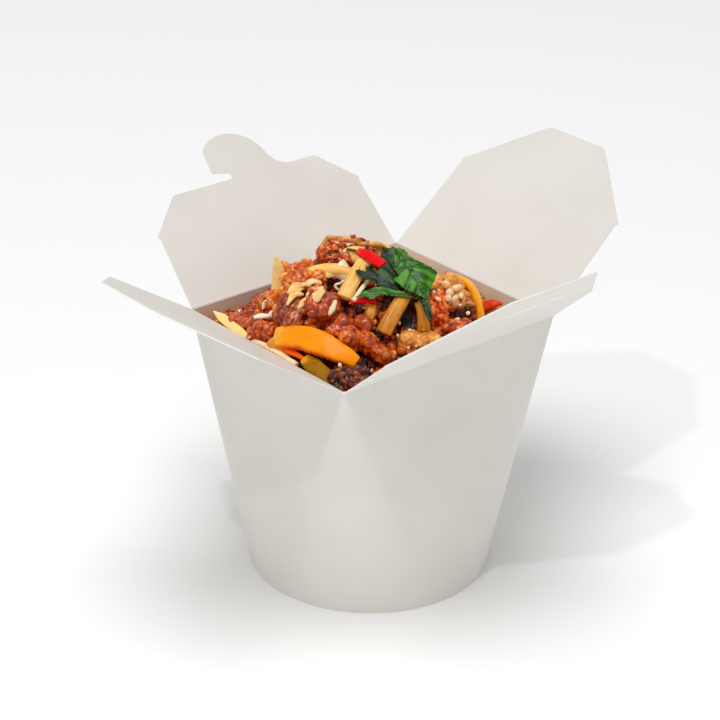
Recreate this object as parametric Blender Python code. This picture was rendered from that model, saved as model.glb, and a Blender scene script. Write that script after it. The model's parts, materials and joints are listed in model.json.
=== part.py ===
"""Noodle takeaway box with a round base, its four top flaps open and a heaped meal inside.

Metres, +Z up. The origin lies on the surface that the box stands on, under the middle of the whole
outline, open flaps included. The hook flap is on the -X side of the box and the slot flap on its +X
side; the two dust flaps are on the +Y and -Y sides. Heights of the food are given above the rim.
"""

import math

import bmesh
import bpy
from mathutils import Matrix, Vector, noise

# The carton: one blank of coated board, square at the rim and round at the base.
RIM_X = 0.092            # rim, from the hook flap's side to the slot flap's side
RIM_Y = 0.105            # rim, from one dust flap's side to the other's
HEIGHT = 0.106           # table to the creases round the rim
BASE_RADIUS = 0.0478     # outside of the round base
BOARD = 0.0005           # thickness of the board
GAP = 0.0003             # clearance between neighbouring solids
HEM_HEIGHT = 0.006       # the board turned up inside the foot
HEM_THICKNESS = 0.0012   # wall and turned-up hem together
CORNER_STEPS = 10        # facets in each rounded quarter of the wall
DISC_THICKNESS = 0.0006  # base disc, which lies on the hem

# The flaps: each turns about a crease along the rim's outer face.
SIDE_CLEARANCE = 0.0007  # from a flap's side edge to the rim's corner
EDGE_ROUND = 0.0015      # radius of the die-cut corners
HOOK_ANGLE = 44.6        # flap angles above the horizontal, leaning outwards, in degrees
SLOT_ANGLE = 41.7
BACK_DUST_ANGLE = 40.1
FRONT_DUST_ANGLE = 33.2
HOOK_SIDE, HOOK_DEPTH, HOOK_CHAMFER = 0.0310, 0.0463, 0.0160
SLOT_SIDE, SLOT_DEPTH, SLOT_CHAMFER = 0.0262, 0.0678, 0.0310
DUST_SIDE, DUST_DEPTH, DUST_CHAMFER = 0.0443, 0.0724, 0.0300

# The hook on the hook flap's free edge, and the slit that takes it. X runs along the crease.
HOOK_HEAD_X, HOOK_HEAD_Y, HOOK_HEAD_RADIUS = -0.0018, 0.0489, 0.0168
NOSE_RADIUS, NOSE_START = 0.0050, 125      # the head's tighter shoulder above the barb
HOOK_BARB_X, HOOK_BARB_Y = -0.0140, 0.0508
THROAT_X, THROAT_Y, THROAT_RADIUS = -0.0074, 0.0478, 0.0015
FILLET_RADIUS = 0.0100
SLIT_X, SLIT_Y, SLIT_LENGTH, SLIT_WIDTH = -0.0090, 0.0430, 0.0320, 0.0016

# The heap: one mass of noodles, crumbled meat and sauce, highest a little behind the middle.
HEAP_EDGE = -0.0060      # level where the heap meets the wall
HEAP_TILT_X, HEAP_TILT_Y = 0.0020, -0.0020
HEAP_PEAK = 0.0265       # rise of the mound above that level
HEAP_MIDDLE = (-0.004, 0.001)
HEAP_SPREAD, HEAP_POWER = 0.037, 2.3
HEAP_BUMP, HEAP_BUMP_SIZE = 0.0042, 0.0090
HEAP_CLEARANCE = 0.0004  # from the wall's inner face
FLAT_STEPS, ARC_STEPS, TOP_RINGS = 7, 3, 10
RING_CROWDING = 1.15     # above 1, the rings of the mound crowd towards the wall

# Pieces of food: facets, and how uneven they are.
BAR_STEPS = 6            # lengths of a strip, slice, stalk or noodle
LUMP_CUTS = 2
LUMP_RADIUS, LUMP_ROUNDNESS = 0.55, 0.8
LUMP_ROUGH, LUMP_GRAIN = 0.42, 3.2
LEAF_STEPS, LEAF_RINGS = 45, 2
LEAF_LEAST = 3.0         # how far the leaf reaches between its lobes, in millimetres
LEAF_THICKNESS, LEAF_CUP = 0.0008, 9.0
LEAF_RIPPLE, LEAF_RIPPLES = 0.0006, 700
INFLATE = 0.00036        # how much wider than a piece its pocket in a neighbour is
NEARLY_FLAT = 3.0        # faces that meet within this many degrees become one after a cut


def clear_scene():
    for obj in list(bpy.data.objects):
        bpy.data.objects.remove(obj, do_unlink=True)


def make_material(name, colour, roughness):
    material = bpy.data.materials.new(name)
    material.use_nodes = True
    shader = material.node_tree.nodes["Principled BSDF"]
    shader.inputs["Base Color"].default_value = (*colour, 1.0)
    shader.inputs["Roughness"].default_value = roughness
    return material


def make_object(name, mesh_data, material, parent):
    """A named object from a bmesh, with its normals out, under the given parent."""
    bmesh.ops.recalc_face_normals(mesh_data, faces=mesh_data.faces)
    mesh = bpy.data.meshes.new(name)
    mesh_data.to_mesh(mesh)
    mesh_data.free()
    mesh.materials.append(material)
    obj = bpy.data.objects.new(name, mesh)
    bpy.context.scene.collection.objects.link(obj)
    obj.parent = parent
    return obj


def smooth(obj, sharp_degrees):
    obj.data.shade_smooth()
    obj.data.set_sharp_from_angle(angle=math.radians(sharp_degrees))


# ---- carton wall and base ----

def wall_ring(height, inset, flat_steps=1, arc_steps=CORNER_STEPS):
    """The wall's outline at a height. Each flat side narrows to a point at the base, and each corner
    is part of a cone whose tip is at the rim, so every line from base to rim is straight."""
    half_x, half_y = RIM_X / 2 - inset, RIM_Y / 2 - inset
    radius, share = BASE_RADIUS - inset, height / HEIGHT
    corners = [(half_x, half_y), (-half_x, half_y), (-half_x, -half_y), (half_x, -half_y)]
    points = []
    for quarter, (corner, following) in enumerate(zip(corners, corners[1:] + corners[:1])):
        rim = Vector(corner)
        for step in range(arc_steps + 1):
            angle = (quarter + step / arc_steps) * math.pi / 2
            foot = Vector((math.cos(angle), math.sin(angle))) * radius
            points.append(foot.lerp(rim, share))
        for step in range(1, flat_steps):
            points.append(foot.lerp(rim.lerp(Vector(following), step / flat_steps), share))
    return [Vector((x, y, height)) for x, y in points]


def add_rings(mesh_data, rings):
    """Joins rings of equal length into a tube and returns their vertices."""
    made = [[mesh_data.verts.new(point) for point in ring] for ring in rings]
    for low, high in zip(made, made[1:]):
        for i in range(len(low)):
            j = (i + 1) % len(low)
            mesh_data.faces.new((low[i], low[j], high[j], high[i]))
    return made


def make_wall(material, parent):
    """Outer face up, inner face down, and the thicker hem inside the foot."""
    top = HEIGHT - BOARD / 2 - GAP
    mesh_data = bmesh.new()
    rings = [
        wall_ring(0.0, 0.0),
        wall_ring(top, 0.0),
        wall_ring(top, BOARD),
        wall_ring(HEM_HEIGHT, BOARD),
        wall_ring(HEM_HEIGHT, HEM_THICKNESS),
        wall_ring(0.0, HEM_THICKNESS),
    ]
    add_rings(mesh_data, rings + [rings[0]])
    bmesh.ops.remove_doubles(mesh_data, verts=mesh_data.verts, dist=0.00001)
    bmesh.ops.triangulate(mesh_data, faces=mesh_data.faces)
    wall = make_object("carton_wall", mesh_data, material, parent)
    smooth(wall, 20)
    return wall


def make_base(material, parent):
    """The disc that closes the foot, lying on the hem."""
    low = HEM_HEIGHT + GAP
    mesh_data = bmesh.new()
    rings = [wall_ring(z, BOARD + GAP) for z in (low, low + DISC_THICKNESS)]
    made = add_rings(mesh_data, rings)
    for ring in made:
        mesh_data.faces.new(ring)
    return make_object("carton_base", mesh_data, material, parent)


# ---- flaps ----

def arc(centre, radius, start, end, steps):
    """Points of an arc, angles in degrees."""
    found = []
    for step in range(steps + 1):
        angle = math.radians(start + (end - start) * step / steps)
        found.append((centre[0] + radius * math.cos(angle), centre[1] + radius * math.sin(angle)))
    return found


def rounded(points, radius, steps=3):
    """An outline with each corner past the crease rounded by a quadratic curve."""
    found = []
    for i, point in enumerate(points):
        here, back, ahead = (Vector(points[(i + k) % len(points)]) for k in (0, -1, 1))
        if point[1] <= 0:
            found.append(tuple(here))
            continue
        start = here + (back - here).normalized() * radius
        end = here + (ahead - here).normalized() * radius
        for step in range(steps + 1):
            t = step / steps
            found.append(tuple(start.lerp(here, t).lerp(here.lerp(end, t), t)))
    return found


def flap_outline(length, side, depth, chamfer, free_edge=()):
    """Crease, straight sides, chamfered corners, and what the free edge carries, seen from above."""
    half = length / 2 - SIDE_CLEARANCE
    corners = [(-half, -BOARD / 2), (half, -BOARD / 2), (half, side), (half - chamfer, depth),
               (chamfer - half, depth), (-half, side)]
    outline = rounded(corners, EDGE_ROUND)
    middle = len(outline) // 2 + 1
    return outline[:middle] + list(free_edge) + outline[middle:]


def hook_edge():
    """The hook from right to left: fillet, round head and nose, pointed barb, and its throat."""
    rise = HOOK_DEPTH + FILLET_RADIUS - HOOK_HEAD_Y
    reach = math.sqrt((HOOK_HEAD_RADIUS + FILLET_RADIUS) ** 2 - rise ** 2)
    meeting = math.degrees(math.atan2(rise, reach))
    fillet_centre = (HOOK_HEAD_X + reach, HOOK_DEPTH + FILLET_RADIUS)
    fillet = arc(fillet_centre, FILLET_RADIUS, 270, 180 + meeting, 4)
    head = arc((HOOK_HEAD_X, HOOK_HEAD_Y), HOOK_HEAD_RADIUS, meeting, NOSE_START, 12)
    inward, turn = HOOK_HEAD_RADIUS - NOSE_RADIUS, math.radians(NOSE_START)
    nose_centre = (HOOK_HEAD_X + inward * math.cos(turn), HOOK_HEAD_Y + inward * math.sin(turn))
    nose = arc(nose_centre, NOSE_RADIUS, NOSE_START, 180, 3)
    throat = arc((THROAT_X, THROAT_Y), THROAT_RADIUS, 75, -90, 5)
    return fillet[:-1] + head + nose[1:] + [(HOOK_BARB_X, HOOK_BARB_Y)] + throat


def make_flap(name, outline, hinge, turn, angle, material, parent):
    """A board plate whose rounded edge lies along the hinge; X is the crease and Y the way out."""
    mesh_data = bmesh.new()
    corners = [mesh_data.verts.new((x, y, -BOARD / 2)) for x, y in outline]
    face = mesh_data.faces.new(corners)
    lifted = bmesh.ops.extrude_face_region(mesh_data, geom=[face])["geom"]
    moved = [item for item in lifted if isinstance(item, bmesh.types.BMVert)]
    bmesh.ops.translate(mesh_data, verts=moved, vec=(0, 0, BOARD))
    crease = []
    for edge in mesh_data.edges:
        start, end = (vertex.co for vertex in edge.verts)
        if start.y < 0 and end.y < 0 and abs(start.z - end.z) < BOARD / 4:
            crease.append(edge)
    bmesh.ops.bevel(mesh_data, geom=crease, offset=BOARD * 0.48, segments=3, profile=0.5, affect="EDGES")
    bmesh.ops.triangulate(mesh_data, faces=mesh_data.faces)
    flap = make_object(name, mesh_data, material, parent)
    flap.location = hinge
    flap.rotation_euler = (math.radians(angle), 0.0, math.radians(turn))
    return flap


def cut_slit(flap):
    """The slit that takes the hook, with round ends."""
    radius = SLIT_WIDTH / 2
    half = SLIT_LENGTH / 2 - radius
    outline = arc((SLIT_X + half, SLIT_Y), radius, -90, 90, 4)
    outline += arc((SLIT_X - half, SLIT_Y), radius, 90, 270, 4)
    mesh_data = bmesh.new()
    rings = [[Vector((x, y, z)) for x, y in outline] for z in (-2 * BOARD, 2 * BOARD)]
    for ring in add_rings(mesh_data, rings):
        mesh_data.faces.new(ring)
    cutter = make_object("slit_cutter", mesh_data, flap.data.materials[0], flap)
    cut_with(flap, [cutter])


def make_flaps(material, parent):
    """Hook and slot flaps across the box, and a dust flap at each end."""
    hook = flap_outline(RIM_Y, HOOK_SIDE, HOOK_DEPTH, HOOK_CHAMFER, hook_edge())
    slot = flap_outline(RIM_Y, SLOT_SIDE, SLOT_DEPTH, SLOT_CHAMFER)
    dust = flap_outline(RIM_X, DUST_SIDE, DUST_DEPTH, DUST_CHAMFER)
    across, along = RIM_X / 2, RIM_Y / 2
    make_flap("hook_flap", hook, (-across, 0, HEIGHT), 90, HOOK_ANGLE, material, parent)
    cut_slit(make_flap("slot_flap", slot, (across, 0, HEIGHT), -90, SLOT_ANGLE, material, parent))
    make_flap("back_dust_flap", dust, (0, along, HEIGHT), 0, BACK_DUST_ANGLE, material, parent)
    make_flap("front_dust_flap", dust, (0, -along, HEIGHT), 180, FRONT_DUST_ANGLE, material, parent)


def outline_middle():
    """How far the flaps' unequal reach moves the middle of the outline from the carton's axis."""
    hook_reach = RIM_X / 2 + (HOOK_HEAD_Y + HOOK_HEAD_RADIUS) * math.cos(math.radians(HOOK_ANGLE))
    slot_reach = RIM_X / 2 + SLOT_DEPTH * math.cos(math.radians(SLOT_ANGLE))
    back_reach = RIM_Y / 2 + DUST_DEPTH * math.cos(math.radians(BACK_DUST_ANGLE))
    front_reach = RIM_Y / 2 + DUST_DEPTH * math.cos(math.radians(FRONT_DUST_ANGLE))
    return ((slot_reach - hook_reach) / 2, (back_reach - front_reach) / 2)


# ---- pieces cut round each other ----

def largest_body(mesh_data):
    """Removes every loose shell but the one with the largest surface."""
    unseen, shells = set(mesh_data.faces), []
    while unseen:
        shell, front = set(), [unseen.pop()]
        while front:
            face = front.pop()
            shell.add(face)
            near = {other for edge in face.edges for other in edge.link_faces} & unseen
            unseen -= near
            front.extend(near)
        shells.append(shell)
    keep = max(shells, key=lambda shell: sum(face.calc_area() for face in shell))
    for shell in shells:
        if shell is not keep:
            bmesh.ops.delete(mesh_data, geom=list(shell), context="FACES")


def cut_with(obj, cutters, solver="EXACT"):
    """Subtracts each cutter for good, removes it, and keeps the one body that matters."""
    for cutter in cutters:
        cutter.hide_render = True
        cutter.display_type = "WIRE"
        cut = obj.modifiers.new(cutter.name, "BOOLEAN")
        cut.operation = "DIFFERENCE"
        cut.solver = solver
        cut.object = cutter
    bpy.context.view_layer.update()
    evaluated = obj.evaluated_get(bpy.context.evaluated_depsgraph_get())
    mesh_data = bmesh.new()
    mesh_data.from_mesh(bpy.data.meshes.new_from_object(evaluated))
    bmesh.ops.triangulate(mesh_data, faces=mesh_data.faces)
    largest_body(mesh_data)
    bmesh.ops.dissolve_limit(mesh_data, angle_limit=math.radians(NEARLY_FLAT),
                             verts=mesh_data.verts, edges=mesh_data.edges)
    bmesh.ops.triangulate(mesh_data, faces=mesh_data.faces)
    mesh_data.to_mesh(obj.data)
    mesh_data.free()
    obj.modifiers.clear()
    for cutter in cutters:
        bpy.data.objects.remove(cutter, do_unlink=True)


def pocket_for(obj):
    """A slightly swollen copy of a piece, which cuts its pocket in a neighbour."""
    mesh_data = bmesh.new()
    mesh_data.from_mesh(obj.data)
    mesh_data.normal_update()
    shifts = [vertex.normal * INFLATE for vertex in mesh_data.verts]
    for vertex, shift in zip(mesh_data.verts, shifts):
        vertex.co += shift
    return make_object(obj.name + "_pocket", mesh_data, obj.data.materials[0], obj.parent)


def box_of(obj):
    points = [vertex.co for vertex in obj.data.vertices]
    low = Vector([min(point[i] for point in points) for i in range(3)])
    high = Vector([max(point[i] for point in points) for i in range(3)])
    return low, high


def boxes_meet(first, second):
    (low_a, high_a), (low_b, high_b) = box_of(first), box_of(second)
    return all(low_a[i] - 2 * GAP < high_b[i] and low_b[i] - 2 * GAP < high_a[i] for i in range(3))


def seat_pieces(pieces):
    """Each piece gives way to those before it in the list, as the softer thing does in a heap."""
    for i, piece in enumerate(pieces):
        neighbours = [other for other in pieces[:i] if boxes_meet(piece, other)]
        if neighbours:
            # Pockets that run into each other leave open edges under the exact solver.
            cut_with(piece, [pocket_for(other) for other in neighbours], solver="MANIFOLD")


# ---- the meal ----

def heap_level(x, y):
    """Height above the rim of the heap's smooth surface."""
    from_middle = math.hypot(x - HEAP_MIDDLE[0], y - HEAP_MIDDLE[1]) / HEAP_SPREAD
    tilt = HEAP_TILT_X * 2 * x / RIM_X + HEAP_TILT_Y * 2 * y / RIM_Y
    return HEAP_EDGE + tilt + HEAP_PEAK * math.exp(-from_middle ** HEAP_POWER)


def heap_bump(x, y):
    spot = Vector((x, y, 0.0)) / HEAP_BUMP_SIZE
    return HEAP_BUMP * (noise.noise(spot) + 0.5 * noise.noise(spot * 2.1 + Vector((5, 3, 1))))


def make_heap(material, parent):
    """Fills the carton from the base disc up to the mound, clear of the wall all round."""
    inset = BOARD + HEAP_CLEARANCE
    floor = HEM_HEIGHT + 2 * GAP + DISC_THICKNESS
    outlines = [wall_ring(z, inset, FLAT_STEPS, ARC_STEPS) for z in (floor, HEIGHT * 0.5)]
    shoulder = []
    for i, point in enumerate(wall_ring(HEIGHT, inset, FLAT_STEPS, ARC_STEPS)):
        level = HEIGHT + heap_level(point.x, point.y)
        shoulder.append(wall_ring(level, inset, FLAT_STEPS, ARC_STEPS)[i])
    rings = outlines + [shoulder]
    for ring in range(1, TOP_RINGS):
        share = 1 - (ring / TOP_RINGS) ** RING_CROWDING
        found = []
        for point in shoulder:
            x, y = point.x * share, point.y * share
            fade = min(1.0, 4 * (1 - share))
            level = HEIGHT + heap_level(x, y) + fade * heap_bump(x, y)
            found.append(Vector((x, y, level)))
        rings.append(found)
    mesh_data = bmesh.new()
    made = add_rings(mesh_data, rings)
    mesh_data.faces.new(made[0])
    top = mesh_data.verts.new((0, 0, HEIGHT + heap_level(0, 0)))
    last = made[-1]
    for i, vertex in enumerate(last):
        mesh_data.faces.new((vertex, last[(i + 1) % len(last)], top))
    bmesh.ops.triangulate(mesh_data, faces=mesh_data.faces)
    heap = make_object("noodle_heap", mesh_data, material, parent)
    smooth(heap, 60)
    return heap


def above_rim(x, y, height):
    """A point of the food, from millimetres across, along and above the rim."""
    return Vector((x, y, height)) * 0.001 + Vector((0, 0, HEIGHT))


def turned(centre, yaw, pitch=0.0, roll=0.0):
    spin = Matrix.Rotation(math.radians(yaw), 4, "Z") @ Matrix.Rotation(math.radians(pitch), 4, "Y")
    return Matrix.Translation(centre) @ spin @ Matrix.Rotation(math.radians(roll), 4, "X")


def make_lump(name, centre, size, angles, seed, material, parent):
    """An uneven morsel: a rounded cube pushed in and out, then stretched to its three sizes."""
    mesh_data = bmesh.new()
    bmesh.ops.create_cube(mesh_data, size=1.0)
    bmesh.ops.subdivide_edges(mesh_data, edges=mesh_data.edges, cuts=LUMP_CUTS,
                              use_grid_fill=True)
    offset = Vector((seed * 3.7, seed * 1.9, seed * 0.7))
    for vertex in mesh_data.verts:
        vertex.co = vertex.co.lerp(vertex.co.normalized() * LUMP_RADIUS, LUMP_ROUNDNESS)
        spot = vertex.co * LUMP_GRAIN + offset
        vertex.co *= 1 + LUMP_ROUGH * (noise.noise(spot) + 0.5 * noise.noise(spot * 2.2))
    bmesh.ops.triangulate(mesh_data, faces=mesh_data.faces)
    stretch = Matrix.Diagonal((*(value * 0.001 for value in size), 1))
    place = turned(above_rim(*centre), *angles)
    bmesh.ops.transform(mesh_data, matrix=place @ stretch, verts=mesh_data.verts)
    lump = make_object(name, mesh_data, material, parent)
    smooth(lump, 80)
    return lump


def bezier(points, t):
    """A point on the quadratic curve through the first, the middle and the last point."""
    first, middle, last = points
    handle = middle * 2 - (first + last) / 2
    return first * (1 - t) ** 2 + handle * 2 * t * (1 - t) + last * t ** 2


def round_section(sides, flutes=0.0):
    """A unit section; flutes above zero pull every second corner in."""
    found = []
    for i in range(sides):
        angle = 2 * math.pi * i / sides
        reach = 1 - flutes * (i % 2)
        found.append((math.cos(angle) * reach, math.sin(angle) * reach))
    return found


def make_bar(name, path, face, width, thick, material, parent, section=None, ends=(0.6, 0.6)):
    """A strip, slice, stalk or noodle: a section swept along a curve, narrowed at its two ends."""
    section = section or round_section(8)
    points = [above_rim(*point) for point in path]
    rings = []
    for step in range(BAR_STEPS + 1):
        t = step / BAR_STEPS
        here = bezier(points, t)
        along = (bezier(points, min(1, t + 0.01)) - bezier(points, max(0, t - 0.01))).normalized()
        side = along.cross(Vector(face)).normalized()
        up = side.cross(along)
        grow = ends[0] + (1 - ends[0]) * min(1, t * 4) - (1 - ends[1]) * max(0, t * 4 - 3)
        reach = (width * 0.0005 * grow, thick * 0.0005 * min(1, grow + 0.15))
        rings.append([here + side * a * reach[0] + up * b * reach[1] for a, b in section])
    mesh_data = bmesh.new()
    made = add_rings(mesh_data, rings)
    mesh_data.faces.new(made[0])
    mesh_data.faces.new(made[-1])
    bmesh.ops.triangulate(mesh_data, faces=mesh_data.faces)
    bar = make_object(name, mesh_data, material, parent)
    smooth(bar, 50)
    return bar


def lobe_reach(angle, lobes, least):
    """How far a lobed leaf reaches at an angle: each lobe is broad, with a point in its middle."""
    reach = least
    for middle, length, width in lobes:
        apart = (angle - middle + 180) % 360 - 180
        share = min(1.0, abs(apart) / width)
        reach = max(reach, length * (1 - 0.22 * share - 0.78 * share ** 4))
    return reach


def make_leaf(name, centre, angles, lobes, material, parent):
    """A thin lobed leaf, cupped downwards at its edges; lobes are (angle, length, half width)."""
    mesh_data = bmesh.new()
    place = turned(above_rim(*centre), *angles)
    sides = []
    for level in (LEAF_THICKNESS / 2, -LEAF_THICKNESS / 2):
        tip = mesh_data.verts.new(place @ Vector((0, 0, level)))
        layers = []
        for ring in range(1, LEAF_RINGS + 1):
            share = ring / LEAF_RINGS
            layer = []
            for step in range(LEAF_STEPS):
                angle = 360 * step / LEAF_STEPS
                reach = lobe_reach(angle, lobes, LEAF_LEAST) * 0.001 * share
                x, y = reach * math.cos(math.radians(angle)), reach * math.sin(math.radians(angle))
                ripple = LEAF_RIPPLE * math.sin(x * LEAF_RIPPLES) * share
                fold = level - LEAF_CUP * (x * x + y * y) + ripple
                layer.append(mesh_data.verts.new(place @ Vector((x, y, fold))))
            layers.append(layer)
        sides.append((tip, layers))
    for tip, layers in sides:
        for i in range(LEAF_STEPS):
            j = (i + 1) % LEAF_STEPS
            mesh_data.faces.new((tip, layers[0][i], layers[0][j]))
            for inner, outer in zip(layers, layers[1:]):
                mesh_data.faces.new((inner[i], outer[i], outer[j], inner[j]))
    upper, lower = sides[0][1][-1], sides[1][1][-1]
    for i in range(LEAF_STEPS):
        j = (i + 1) % LEAF_STEPS
        mesh_data.faces.new((upper[i], lower[i], lower[j], upper[j]))
    bmesh.ops.triangulate(mesh_data, faces=mesh_data.faces)
    leaf = make_object(name, mesh_data, material, parent)
    smooth(leaf, 50)
    return leaf


GARNISH_FACE = (0.55, -0.5, 0.7)   # up and out over the front corner, the way most garnish lies
PARSLEY_LOBES = [(24, 16.5, 50), (62, 15, 44), (100, 17, 30), (150, 17, 21), (190, 16.5, 17), (-28, 15.5, 36)]


def make_garnish(finish, parent):
    """What lies on top: the chilli, the leaf, the upright sliver of pepper and a piece of onion."""
    leaf = make_leaf("parsley_leaf", (20.0, -6.0, 21.5), (49, 0, 34), PARSLEY_LOBES, finish["leaf"], parent)
    strip_path = [(-2.5, -5.5, 27.5), (2.8, -3.2, 28.0), (9.0, -0.2, 25.5)]
    strip = make_bar("chilli_strip", strip_path, GARNISH_FACE, 3.4, 2.0, finish["chilli"], parent,
                     ends=(0.8, 0.85))
    slice_path = [(12.5, -22.0, 14.5), (15.2, -18.0, 15.8), (18.0, -14.0, 15.2)]
    chilli_slice = make_bar("chilli_slice", slice_path, GARNISH_FACE, 3.0, 1.8, finish["chilli"], parent,
                            ends=(0.3, 0.8))
    sliver_path = [(-21.5, -29.5, 5.0), (-21.0, -29.0, 15.0), (-22.0, -29.5, 25.5)]
    sliver = make_bar("pepper_sliver", sliver_path, (0.76, -0.65, 0.0), 6.0, 1.6, finish["pale_pepper"],
                      parent, ends=(1.0, 0.12))
    onion_path = [(-2.5, -17.0, 20.5), (0.5, -14.5, 22.0), (2.5, -12.0, 20.5)]
    onion = make_bar("onion_piece", onion_path, GARNISH_FACE, 6.5, 1.6, finish["onion"], parent,
                     ends=(0.7, 0.7))
    return [strip, leaf, chilli_slice, sliver, onion]


def make_cut_vegetables(finish, parent):
    """Slices and strips of pepper and carrot, stalks, and the noodles that lie free on the heap.
    Each has its path, the way its broad side faces, width, thickness, finish, section and ends."""
    flat = [(1, 0.55), (0.75, 1), (-0.75, 1), (-1, 0.55), (-1, -0.55), (-0.75, -1), (0.75, -1), (1, -0.55)]
    fluted = round_section(12, 0.16)
    plain = round_section(8)
    bars = [
        ("orange_slice", [(-1.0, -45.8, 2.6), (17.0, -43.6, 7.2), (32.5, -36.0, 2.6)],
         GARNISH_FACE, 9.0, 4.4, "orange", flat, (0.75, 0.45)),
        ("orange_end", [(-1.0, -48.3, 2.5), (3.0, -48.3, 0.0), (8.5, -48.0, -2.0)],
         (0.3, -0.9, 0.3), 6.0, 3.0, "pale_pepper", flat, (0.8, 0.7)),
        ("green_slice", [(16.5, -47.6, 1.6), (25.5, -47.6, 0.2), (34.5, -47.8, -2.2)],
         GARNISH_FACE, 7.0, 2.6, "green_pepper", flat, (0.6, 0.6)),
        ("yellow_arch", [(14.5, 25.5, 12.5), (25.5, 27.5, 12.0), (33.5, 26.0, 2.0)],
         (0.1, 0.6, 0.8), 5.2, 3.0, "yellow", flat, (0.8, 0.9)),
        ("yellow_strip", [(-39.5, -45.6, -2.5), (-25.0, -48.8, -2.0), (-9.5, -49.6, -2.5)],
         (0.2, -0.7, 0.7), 3.6, 1.8, "yellow", flat, (0.15, 0.8)),
        ("rim_noodle", [(-8.0, -49.8, -4.0), (5.0, -50.0, -0.6), (17.0, -49.7, -3.0)],
         GARNISH_FACE, 2.8, 2.8, "noodle", plain, (0.8, 0.8)),
        ("arched_noodle", [(-11.5, -22.5, 17.0), (-7.0, -15.5, 21.5), (-1.0, -8.5, 19.5)],
         GARNISH_FACE, 4.8, 4.4, "noodle", plain, (0.7, 0.9)),
        ("long_stalk", [(-1.0, -1.0, 23.5), (4.5, -11.0, 22.5), (9.5, -22.0, 16.0)],
         GARNISH_FACE, 5.4, 3.8, "stalk", fluted, (0.9, 1.0)),
        ("short_stalk", [(24.0, -5.0, 16.5), (26.0, -11.0, 13.5), (27.0, -17.5, 7.5)],
         GARNISH_FACE, 6.0, 4.6, "stalk", fluted, (0.95, 1.0)),
        ("side_stalk", [(28.0, -1.5, 14.5), (31.0, -2.0, 11.5), (33.5, -3.5, 6.5)],
         GARNISH_FACE, 4.8, 3.6, "stalk", fluted, (0.8, 1.0)),
        ("stalk_end", [(17.5, -15.0, 13.0), (19.0, -17.0, 11.5), (20.5, -19.5, 8.0)],
         GARNISH_FACE, 3.8, 3.0, "stalk", fluted, (0.8, 0.7)),
        ("square_cut", [(-9.5, -7.0, 20.5), (-8.4, -3.5, 22.0), (-7.0, 0.0, 21.0)],
         GARNISH_FACE, 6.4, 3.0, "noodle", flat, (0.95, 0.95)),
        ("flat_cut", [(-14.0, 5.5, 20.0), (-10.5, 9.0, 21.0), (-6.5, 12.0, 19.5)],
         GARNISH_FACE, 4.6, 2.4, "noodle", flat, (0.8, 0.8)),
        ("carrot_tip", [(27.0, 32.0, 2.0), (29.5, 34.5, 4.2), (32.5, 37.0, 5.0)],
         GARNISH_FACE, 4.2, 3.0, "carrot", flat, (0.9, 0.3)),
    ]
    made = []
    for name, path, face, width, thick, material, section, ends in bars:
        made.append(make_bar(name, path, face, width, thick, finish[material], parent, section, ends))
    return made


def make_morsels(finish, parent):
    """Glazed meat and the paler chunks, from the crown of the heap down to the rim."""
    lumps = [
        ("meat_crown", (-13.5, -7.5, 20.5), (14.0, 11.5, 11.5), (40, 10, 0), "meat"),
        ("meat_back", (-11.5, 1.5, 19.5), (10.0, 8.0, 9.0), (40, 0, 0), "meat"),
        ("meat_upper", (-13.0, -24.0, 14.0), (17.0, 13.0, 12.0), (40, 0, 10), "meat"),
        ("meat_torn", (-1.5, -36.5, 8.0), (16.5, 13.0, 13.5), (20, 15, 0), "meat"),
        ("meat_glazed", (8.0, -30.5, 11.5), (12.5, 12.0, 15.0), (50, 0, 0), "meat"),
        ("meat_side", (-19.5, -33.5, 6.0), (11.0, 8.5, 9.5), (0, 20, 0), "meat"),
        ("meat_left", (-26.0, -43.0, -0.5), (17.0, 11.5, 9.5), (0, 0, 0), "meat"),
        ("meat_left_low", (-10.5, -43.5, 1.0), (14.0, 11.0, 10.0), (15, 0, 0), "meat"),
        ("meat_middle", (22.5, -32.0, 6.5), (12.5, 11.5, 11.0), (0, 0, 0), "meat"),
        ("meat_corner", (36.5, -42.5, -2.0), (14.0, 11.0, 10.5), (50, 0, 0), "meat"),
        ("meat_right", (28.8, 6.3, 10.5), (10.5, 9.5, 12.0), (60, 0, 0), "meat"),
        ("meat_right_low", (34.5, 9.0, 2.5), (16.0, 11.0, 9.0), (60, 0, 0), "meat"),
        ("tan_chunk", (34.2, -6.0, 3.2), (15.5, 8.0, 7.5), (52, 0, 0), "crumb"),
        ("nut_cluster", (22.0, 17.5, 11.0), (15.0, 11.0, 11.5), (50, 0, 0), "crumb"),
    ]
    made = []
    for seed, (name, centre, size, angles, material) in enumerate(lumps):
        made.append(make_lump(name, centre, size, angles, seed + 1, finish[material], parent))
    curl_path = [(18.8, -17.5, 9.0), (25.0, -27.0, 7.0), (36.5, -23.5, 1.5)]
    made.append(make_bar("meat_curl", curl_path, GARNISH_FACE, 7.0, 6.5, finish["meat"], parent,
                         round_section(10, 0.1), (0.7, 0.8)))
    return made


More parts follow.
